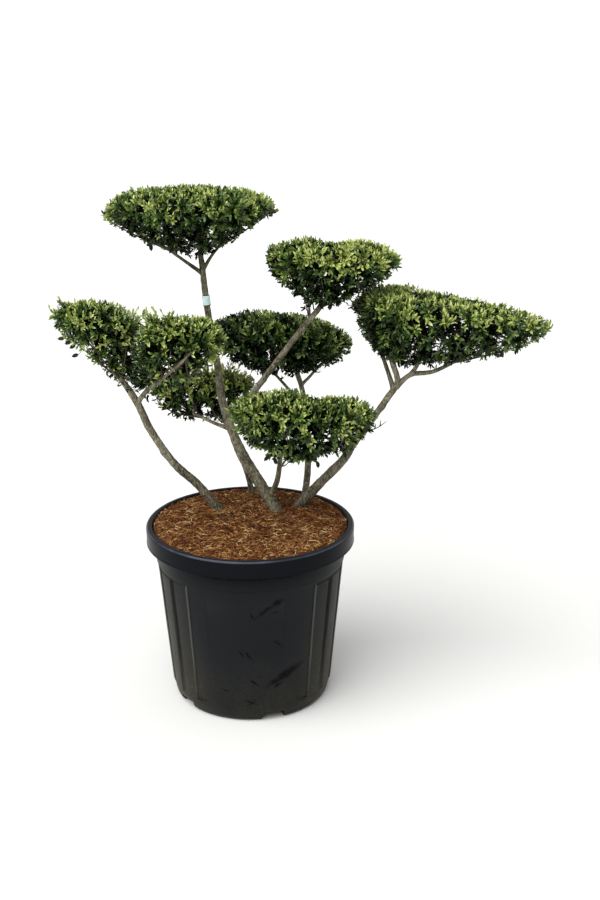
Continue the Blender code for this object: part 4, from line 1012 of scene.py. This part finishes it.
bandSizes = {"from": 984, "to": 1008, "air": 1.0, "thick": 0.5, "columns": 40, "overlap": 0.35,
             "overlapRise": 0.09, "steps": 12}


def makeBand():
    b = bandSizes
    way = limbs["stem_centre"]["way"]
    low, high = atHeight(way, b["from"] * mm), atHeight(way, b["to"] * mm)
    nearest = min(range(len(way)), key=lambda i: abs(way[i].z - b["from"] * mm))
    radius = limbs["stem_centre"]["radii"][nearest] + b["air"] * mm
    centres = [low.lerp(high, i / b["steps"]) for i in range(b["steps"] + 1)]
    places = ringMatrices(centres, [radius] * len(centres))
    bm = bmesh.new()
    start = bm.verts.new((1, 0, 0))
    bmesh.ops.spin(bm, geom=[start], cent=(0, 0, 0), axis=(0, 0, 1), angle=math.tau + b["overlap"],
                   steps=b["columns"], use_merge=False)
    for i, corner in enumerate(bm.verts):  # the film's end lies over its start
        corner.co *= 1 + b["overlapRise"] * i / b["columns"]
    carryRing(bm, places)
    bmesh.ops.recalc_face_normals(bm, faces=bm.faces)
    for face in bm.faces:  # the lowest turn is a dark tie
        face.material_index = int(face.calc_center_median().z < low.z + 2 * mm)
    band = addPiece("label_wrap", meshOf(bm, "label_wrap"), [labelFinish, tieFinish], "label_band",
                    "label_band")
    thick = band.modifiers.new("film", "SOLIDIFY")
    thick.thickness = b["thick"] * mm
    thick.offset = 1


makeBand()
print("label band made")


# foliage

sprayLook = {
    "leavesEach": 13, "leafEvery": 3.7, "leafLength": (12, 17.5), "leafWide": 0.38, "tipRoom": 8,
    "lump": (-5, 13), "lumpRun": 58, "stray": 7, "pit": 26, "pitRun": 34, "forkEvery": 10,
    "forkInset": 42, "innerAlong": 2.6, "innerCore": 4.6, "innerLength": (16, 22),
    "innerDepth": 0.80, "fold": 0.16, "droop": 0.10, "toneHeight": 0.42, "toneUp": 0.08,
    "toneClump": 0.55, "clumpRun": 33, "clumpTall": 0.40, "toneTip": 0.16, "toneFoot": -0.30,
    "ribs": 6, "ribInset": 20, "edgeInset": 5, "ribWidths": (3.0, 0.8), "below": 0.85,
    "windowWide": 11, "loneLength": 20,
}
leafShape = {"stations": (0.30, 0.68), "halves": (0.47, 0.43)}


def evenTilts(cloud, count, below):
    # tilts that spread points evenly over the skin, sparser towards the foot of the cone
    tilts = np.linspace(0.49 * math.pi, -0.49 * math.pi, 500)
    side = cloudPoint(cloud, np.full_like(tilts, 0.4), tilts)
    centre = np.array(cloud["middle"]) * mm
    lean = np.maximum(0, (centre[2] - side[:, 2]) / (cloud["depth"] * mm))
    out = np.hypot(side[:, 0] - centre[0] - cloud["lean"][0] * mm * lean,
                   side[:, 1] - centre[1] - cloud["lean"][1] * mm * lean)
    step = np.hypot(np.gradient(out), np.gradient(side[:, 2]))
    wanted = np.where(tilts > -0.1, 1.0, below + (1 - below) * np.exp((tilts + 0.1) * 2.2))
    area = np.cumsum(out * step * wanted)
    return np.interp((np.arange(count) + 0.5) / count, area / area[-1], tilts)


def skinNormals(cloud, places):
    nudge = 0.5 * mm
    slopes = [depthIn(cloud, places + nudge * axis) - depthIn(cloud, places - nudge * axis)
              for axis in np.eye(3)]
    return unit(np.stack(slopes, axis=-1))


def bendAt(points, t):
    # cubic curves (m, 4, 3) at shares (m, k): places and directions
    a, b, c, d = [points[:, None, i] for i in range(4)]
    t = t[..., None]
    u = 1 - t
    place = u ** 3 * a + 3 * u * u * t * b + 3 * u * t * t * c + t ** 3 * d
    slope = 3 * u * u * (b - a) + 6 * u * t * (c - b) + 3 * t * t * (d - c)
    return place, unit(slope)


def nearestOf(places, others):
    away = np.linalg.norm(places[:, None] - others[None], axis=-1)
    return away.argmin(axis=1)


barkRuns = []
for limb in limbs.values():
    coarse = [np.array(p) for p in limb["way"][::5]] + [np.array(limb["way"][-1])]
    for a, b in zip(coarse, coarse[1:]):
        barkRuns.append((a, b, limb["radii"][0] * 0.5 + limb["radii"][-1] * 0.5))


def barkClearance(places):
    least = np.full(len(places), 1.0)
    for a, b, radius in barkRuns:
        along = b - a
        near = np.abs(places - (a + b) / 2).max(axis=1) < 0.5 * np.linalg.norm(along) + 20 * mm
        if not near.any():
            continue
        t = np.clip((places[near] - a) @ along / (along @ along + 1e-12), 0, 1)
        gap = np.linalg.norm(places[near] - a - t[:, None] * along, axis=1) - radius
        least[near] = np.minimum(least[near], gap)
    return least


def leafArrays(roots, outs, ups, lengths, widths):
    # eight corners and six faces a leaf, folded along the midrib with its tip drooping
    fold, droop = sprayLook["fold"], sprayLook["droop"]
    side = unit(np.cross(ups, outs))
    ups = np.cross(outs, side)
    (near, far), (wideNear, wideFar) = leafShape["stations"], leafShape["halves"]
    local = np.array([
        (0, 0, 0), (near, 0, 0.02), (far, 0, -0.01), (1, 0, -droop),
        (near, wideNear, fold * wideNear), (far, wideFar, fold * wideFar - 0.03),
        (near, -wideNear, fold * wideNear), (far, -wideFar, fold * wideFar - 0.03)])
    size = np.stack([lengths, widths, widths], axis=-1)
    axes = np.stack([outs, side, ups], axis=1)
    places = roots[:, None] + np.einsum("kj,nj,njc->nkc", local, size, axes)
    index = (np.arange(len(roots)) * 8)[:, None]
    quads = np.concatenate([index + [1, 6, 7, 2], index + [1, 2, 5, 4]])
    thirds = np.concatenate([index + [0, 6, 1], index + [2, 7, 3], index + [0, 1, 4], index + [2, 3, 5]])
    return places, quads, thirds


def keepLeaves(name, places, limits):
    # leaves stay in their own cloud's space, in the solid's box and off the bark
    cloud = clouds[name]
    corners = places[:, [3, 5, 7]].reshape(-1, 3)
    limits = np.repeat(limits, 3)
    own = depthIn(cloud, corners)
    others = np.min([depthIn(c, corners) for n, c in clouds.items() if n != name], axis=0)
    needed = np.where(limits > growth["looseAbove"], 1.02, own + growth["otherAir"])
    fine = (own < limits) & (others > needed)
    low, high = np.array(cadBox[0]), np.array(cadBox[1])
    fine &= (corners > low).all(axis=1) & (corners < high).all(axis=1)
    fine &= barkClearance(corners) > 0.8 * mm
    fine &= ~hidesLimb(corners)
    return fine.reshape(-1, 3).all(axis=1)


def hidesLimb(places):
    # the front of a limb that runs along its cloud's skin is kept free of leaves
    hides = np.zeros(len(places), bool)
    for limbName, limb in boughs.items():
        if not limb.get("outside"):
            continue
        way = np.array([tuple(p) for p in limbs[limbName]["way"][:limbs[limbName]["outer"]:3]])
        for here in way:
            away = np.hypot(places[:, 0] - here[0], places[:, 2] - here[2])
            hides |= (away < sprayLook["windowWide"] * mm) & (places[:, 1] < here[1] + 5 * mm)
    return hides


def skinEnds(cloud, number, rng):
    # ends of the leafy sprays: even over the skin, with lumps and pits, then the rim's four
    # directions and the top, then the tufts
    look = sprayLook
    count = cloud["sprays"]
    tilt = np.concatenate([evenTilts(cloud, count, look["below"]), np.full(4, 0.02), [math.pi / 2]])
    turn = np.arange(count) * golden + rng.uniform(-0.12, 0.12, count)
    turn = np.concatenate([turn, np.arange(4) * math.pi / 2, [0]])
    skin = cloudPoint(cloud, turn, tilt)
    normals = skinNormals(cloud, skin)
    lump = between(look["lump"], noiseAt(skin, look["lumpRun"], number) * 1.6)
    stray = rng.uniform(0, look["stray"], count + 5)
    shaded = np.clip((0.40 - normals[:, 2]) / 0.5, 0, 1)
    pit = np.clip(noiseAt(skin * (1, 1, 0.5), look["pitRun"], number + 9) * 3.2 - 0.3, 0, 1) * shaded
    pit *= 0.3 + 1.6 * cloud["gaps"]
    inset = (lump + stray) * np.clip(1 + 1.5 * normals[:, 2], 0.15, 1) * mm + pit * look["pit"] * mm
    inset[-5:] = 0
    ends = cloudPoint(cloud, turn, tilt, inset)
    gapHere = noiseAt(skin, 36, number + 21) < -0.62 + cloud["gaps"] * 1.5
    keep = ~(gapHere & (rng.uniform(0, 1, count + 5) < 0.25 + cloud["gaps"]) & (shaded > 0.1))
    keep[-5:] = True
    tufts = np.array(cloud["tufts"]) * mm
    for low, high, amount in cloud.get("bridges", ()):
        low, high = np.array(low) * mm, np.array(high) * mm
        tufts = np.concatenate([tufts, low + (high - low) * rng.uniform(0, 1, (amount, 3))])
    ends = np.concatenate([ends[keep], tufts])
    normals = np.concatenate([normals[keep], skinNormals(cloud, tufts)])
    pit = np.concatenate([pit[keep], np.zeros(len(tufts))])
    limits = np.where(np.arange(len(ends)) < len(ends) - len(tufts), 1.09, 2.2)
    return ends, normals, pit, limits


def sprayTones(cloud, number, ends, normals, pit, rng):
    # how light each spray's tone is: fresher high up, towards one side and in upright clumps; sprays high
    # up and facing up also carry painted light from above, and those in pits painted shade
    look = sprayLook
    middle = np.array(cloud["middle"]) * mm
    flat = ends * np.array([1, 1, look["clumpTall"]])
    clump = noiseAt(flat, look["clumpRun"], number + 33)
    across = (ends[:, 0] - middle[0]) / (cloud["right"] * mm)
    local = ends[:, 2] - middle[2] - cloud["slope"] * (ends[:, 0] - middle[0])
    tall = (local / mm + cloud["depth"]) / (cloud["dome"] + cloud["depth"])
    score = (cloud["fresh"] + cloud.get("paler", look["toneHeight"]) * (tall - 0.72)
             + look["toneUp"] * normals[:, 2]
             + look["toneClump"] * clump + across * cloud["bright"]
             + rng.normal(0, 0.10, len(ends)) - 0.34 * pit)
    return score + np.where(rng.uniform(0, 1, len(ends)) < 0.05, 0.26, 0)


def growCloud(name, number):
    cloud, look = clouds[name], sprayLook
    rng = np.random.default_rng(growth["seed"] + number)
    heads = np.array([tuple(limb["head"]) for limbName, limb in limbs.items()
                      if (stems.get(limbName) or boughs[limbName])["feeds"] == name])
    middle = np.array(cloud["middle"]) * mm
    hubTurns = np.arange(growth["hubs"]) * golden
    hubs = middle + (cloudPoint(cloud, hubTurns, np.full(growth["hubs"], 0.1))
                     - middle) * growth["hubShare"]
    hubs = np.concatenate([hubs, middle[None]])
    ends, normals, pit, limits = skinEnds(cloud, number, rng)
    count = len(ends)

    # forks on an inner shell, each fed from its nearest hub
    forkCount = max(12, count // look["forkEvery"])
    forkTilt = evenTilts(cloud, forkCount, 0.5)
    forkTurn = np.arange(forkCount) * golden + 0.5
    forks = cloudPoint(cloud, forkTurn, forkTilt, (look["forkInset"]
                                                   + rng.uniform(-9, 9, forkCount)) * mm)
    hubOf = nearestOf(forks, hubs)
    headOf = nearestOf(hubs, heads)
    forkOf = nearestOf(ends, forks)

    up = np.array([0, 0, 1.0])
    forkHeading = unit(forks - hubs[hubOf])
    roots = forks[forkOf]
    lift = 0.55 + 0.3 * np.clip(normals[:, 2:], 0, 1)
    direction = unit(normals * 0.7 + up * lift + rng.normal(0, 0.22, (count, 3)))
    tips = ends - direction * look["tipRoom"] * mm
    span = np.linalg.norm(tips - roots, axis=1)[:, None]
    curves = np.stack([roots, roots + forkHeading[forkOf] * span * 0.30,
                       tips - direction * span * 0.45, tips], axis=1)

    # leaves up each spray, turned by the golden angle
    each = look["leavesEach"]
    back = (1.0 + np.arange(each) * look["leafEvery"]) * mm
    t = np.clip(1 - back[None] / np.maximum(span, 1e-4), 0.03, 1)
    place, along = bendAt(curves, t)
    spin = rng.uniform(0, math.tau, count)[:, None] + np.arange(each) * golden
    across = unit(np.cross(along, up + 0.01))
    other = np.cross(along, across)
    radial = across * np.cos(spin)[..., None] + other * np.sin(spin)[..., None]
    opening = np.radians(np.linspace(20, 64, each)) + rng.normal(0, 0.16, (count, each))
    out = along * np.cos(opening)[..., None] + radial * np.sin(opening)[..., None]
    face = along * np.sin(opening)[..., None] - radial * np.cos(opening)[..., None] + up * 0.55
    length = rng.uniform(*look["leafLength"], (count, each)) * mm
    length *= np.interp(np.arange(each), [0, 2, each], [0.62, 1.0, 1.0])
    present = rng.uniform(0, 1, (count, each)) < np.interp(np.arange(each), [0, each], [1.0, 0.82])
    score = sprayTones(cloud, number, ends, normals, pit, rng)
    # tip leaves are this season's and lighter; leaves further back are older and darker, with painted
    # shade deeper in the cloud
    ladder = np.linspace(look["toneTip"], look["toneFoot"], each)
    value = score[:, None] + ladder + rng.normal(0, 0.05, (count, each))
    tone = np.clip((value * len(leafTones)).astype(int), 0, len(leafTones) - 1)
    shell = present.ravel()
    sets = [[a.reshape(-1, 3)[shell] for a in (place, out, face)]
            + [length.ravel()[shell], tone.ravel()[shell], np.repeat(limits, each)[shell]]]

    # older leaves inside, on the shoots' lower parts and on the twigs between hub and fork; their three
    # darkest tones are painted shade for the cloud's inside as well as their age
    for amount, onShoots in ((look["innerAlong"], True), (look["innerCore"], False)):
        innerCount = int(count * amount * (1 - 0.7 * cloud["gaps"]))
        if onShoots:
            pick = rng.integers(0, count, innerCount)
            innerRoot, heading = bendAt(curves[pick], rng.uniform(0.05, 0.7, (innerCount, 1)))
            innerRoot, heading = innerRoot[:, 0], heading[:, 0]
        else:
            pick = rng.integers(0, forkCount, innerCount)
            share = rng.uniform(0.15, 1.0, innerCount)[:, None]
            innerRoot = hubs[hubOf[pick]] + (forks[pick] - hubs[hubOf[pick]]) * share
            innerRoot = innerRoot + rng.normal(0, 7 * mm, (innerCount, 3))
            heading = forkHeading[pick]
        sets.append([innerRoot, unit(rng.normal(0, 1, (innerCount, 3)) + heading * 0.6 + up * 0.2),
                     unit(up + rng.normal(0, 0.5, (innerCount, 3))),
                     rng.uniform(*look["innerLength"], innerCount) * mm,
                     rng.choice(3, innerCount, p=(0.5, 0.35, 0.15)),
                     np.full(innerCount, look["innerDepth"])])
    rootSet, outSet, faceSet, lengthSet, toneSet, limitSet = [np.concatenate(part) for part in zip(*sets)]
    widthSet = lengthSet * look["leafWide"] * rng.uniform(0.9, 1.15, len(lengthSet))
    places, _, _ = leafArrays(rootSet, outSet, faceSet, lengthSet, widthSet)
    fine = keepLeaves(name, places, limitSet)
    kept = [part[fine] for part in (rootSet, outSet, faceSet, lengthSet, widthSet, toneSet)]
    for x, y, z, leanX, leanZ in cloud.get("leaves", ()):
        single = (np.array([x, y, z]) * mm, unit(np.array([leanX, 0.1, leanZ])), np.array([0.2, -1, 0.4]),
                  look["loneLength"] * mm, look["loneLength"] * 0.5 * mm, 1)
        kept = [np.concatenate([part, [one]]) for part, one in zip(kept, single)]
    places, quads, thirds = leafArrays(*kept[:5])
    mesh = arrayMesh(name + "_leaves", places.reshape(-1, 3), [quads, thirds],
                     [np.tile(kept[5], 2), np.tile(kept[5], 4)])
    addPiece(name + "_leaves", mesh, leafFinishes, "foliage", name)
    growTwigs(name, heads[headOf], hubs, hubs[hubOf], forks, curves, growRibs(name))
    return len(kept[5])


def evenlyAlong(way, rings):
    return [way[round(k * (len(way) - 1) / (rings - 1))] for k in range(rings)]


def growRibs(name):
    # side limbs that fan out under the leaves, from where a bough enters to the rim
    cloud, look = clouds[name], sprayLook
    feeders = [limb for limbName, limb in limbs.items()
               if (stems.get(limbName) or boughs[limbName])["feeds"] == name]
    turns = [(i * math.tau / look["ribs"] + 0.3, look["ribInset"]) for i in range(look["ribs"])]
    turns += [(math.radians(turn), look["edgeInset"]) for turn in cloud.get("edgeRibs", ())]
    ribs = []
    for turn, inset in turns:
        rim = Vector(cloudPoint(cloud, turn, -0.12, inset * mm))
        feeder = min(feeders, key=lambda limb: (limb["way"][limb["outer"] - 1] - rim).length)
        start = feeder["way"][feeder["outer"] - 5]
        points = [start] + [Vector(cloudPoint(cloud, turn, tilt, inset * mm)) for tilt in (-0.95, -0.5)]
        points = [p for p in points if p == start or (p - start).length > 30 * mm] + [rim]
        ribs.append(evenlyAlong(smoothWay(points, 5 * mm), 14))
    return np.array(ribs)


def growTwigs(name, heads, hubs, forkHubs, forks, curves, ribs):
    # limbs from the heads to the hubs, twigs to the forks, shoots to the sprays, ribs and spurs
    levels = [(ribs, sprayLook["ribWidths"], 6, 0)]
    for starts, finishes, widths, sides, sag in ((heads, hubs, (3.4, 2.6), 6, 0.12),
                                                 (forkHubs, forks, (2.3, 1.4), 4, 0.10)):
        t = np.linspace(0, 1, 6)[None, :, None]
        ways = starts[:, None] + (finishes - starts)[:, None] * t
        span = np.linalg.norm(finishes - starts, axis=1)[:, None]
        ways[..., 2] -= sag * span * np.sin(math.pi * t[..., 0])
        levels.append((ways, widths, sides, 0))
    ways, _ = bendAt(curves, np.tile(np.linspace(0, 1, 5), (len(curves), 1)))
    levels.append((ways, (1.2, 0.6), 3, 1))
    spurs = [evenlyAlong(smoothWay([metres(p) for p in points], 2 * mm), 8)
             for points in clouds[name].get("spurs", ())]
    if spurs:
        levels.append((np.array(spurs), (2.0, 0.7), 6, 0))
    stalks = []
    for x, y, z, _, _ in clouds[name].get("leaves", ()):  # each single leaf hangs on its own shoot
        foot = metres((x, y, z))
        fork = Vector(min(forks, key=lambda place: (Vector(place) - foot).length))
        sagged = fork.lerp(foot, 0.5) - Vector((0, 0, 5 * mm))
        stalks.append(evenlyAlong(smoothWay([fork, sagged, foot], 2 * mm), 8))
    if stalks:
        levels.append((np.array(stalks), (1.3, 0.6), 4, 1))
    allPlaces, faceSets, toneSets, start = [], [], [], 0
    for ways, (wide, narrow), sides, tone in levels:
        widths = np.linspace(wide, narrow, ways.shape[1])[None] * mm * np.ones((len(ways), 1))
        places, walls, ends = tubeArrays(ways, widths, sides)
        allPlaces.append(places)
        faceSets += [walls + start, ends + start]
        toneSets += [np.full(len(walls), tone), np.full(len(ends), tone)]
        start += len(places)
    mesh = arrayMesh(name + "_twigs", np.concatenate(allPlaces), faceSets, toneSets)
    addPiece(name + "_twigs", mesh, twigFinishes, "bark", name)


leafCount = 0
for number, name in enumerate(clouds):
    leafCount += growCloud(name, number)
print("foliage grown:", leafCount, "leaves")


# floor, light and camera

studio = {"floor": "#c8c8c6", "floorSize": 400, "key": 4.3, "keyFrom": (-32, 28), "keySoft": 65,
          "horizon": 0.55, "zenith": 1.15, "backdrop": 1.05}
cameraSet = {"place": (0, -3.0, 1.634), "down": 18.42, "yaw": 2.35, "focal": 1298, "frame": (600, 900)}


def makeStudio():
    bm = bmesh.new()
    bmesh.ops.create_circle(bm, cap_ends=True, segments=64, radius=studio["floorSize"])
    floor = bpy.data.objects.new("studio_floor", meshOf(bm, "studio_floor"))
    bpy.context.scene.collection.objects.link(floor)
    floor.data.materials.append(newFinish("matt studio floor", studio["floor"], 0.9, 0.0)[0])
    key = bpy.data.lights.new("key", "SUN")
    key.energy = studio["key"]
    key.angle = math.radians(studio["keySoft"])
    lamp = bpy.data.objects.new("key", key)
    across, along = studio["keyFrom"]
    lamp.rotation_euler = (math.radians(along), math.radians(across), 0)
    lamp.location = (0, 0, 4)
    bpy.context.scene.collection.objects.link(lamp)
    world = bpy.data.worlds.new("studio")
    bpy.context.scene.world = world
    world.use_nodes = True
    tree = world.node_tree
    tree.nodes.clear()
    direction = addNode(tree, "TexCoord").outputs["Generated"]
    height = addNode(tree, "SeparateXYZ", inputs=(direction,)).outputs["Z"]
    glow = addNode(tree, "MapRange", inputs=(height, 0, 1, studio["horizon"], studio["zenith"]))
    soft = addNode(tree, "Background", inputs=("#ffffff", glow))
    plain = addNode(tree, "Background", inputs=("#ffffff", studio["backdrop"]))
    seen = addNode(tree, "LightPath").outputs["Is Camera Ray"]
    addNode(tree, "OutputWorld", inputs=(addNode(tree, "MixShader", inputs=(seen, soft, plain)),))
    bpy.context.scene.view_settings.view_transform = "Standard"


def makeCamera():
    c = cameraSet
    lens = bpy.data.cameras.new("camera")
    lens.sensor_fit = "VERTICAL"
    lens.sensor_height = 36
    lens.lens = c["focal"] / c["frame"][1] * lens.sensor_height
    camera = bpy.data.objects.new("camera", lens)
    down, yaw = math.radians(c["down"]), math.radians(c["yaw"])
    ahead = Vector((math.sin(yaw) * math.cos(down), math.cos(yaw) * math.cos(down), -math.sin(down)))
    right = Vector((math.cos(yaw), -math.sin(yaw), 0))
    turn = Matrix((right, right.cross(ahead), -ahead)).transposed().to_4x4()
    camera.matrix_world = Matrix.Translation(c["place"]) @ turn
    bpy.context.scene.collection.objects.link(camera)
    bpy.context.scene.camera = camera


makeStudio()
makeCamera()
print("studio and camera set")
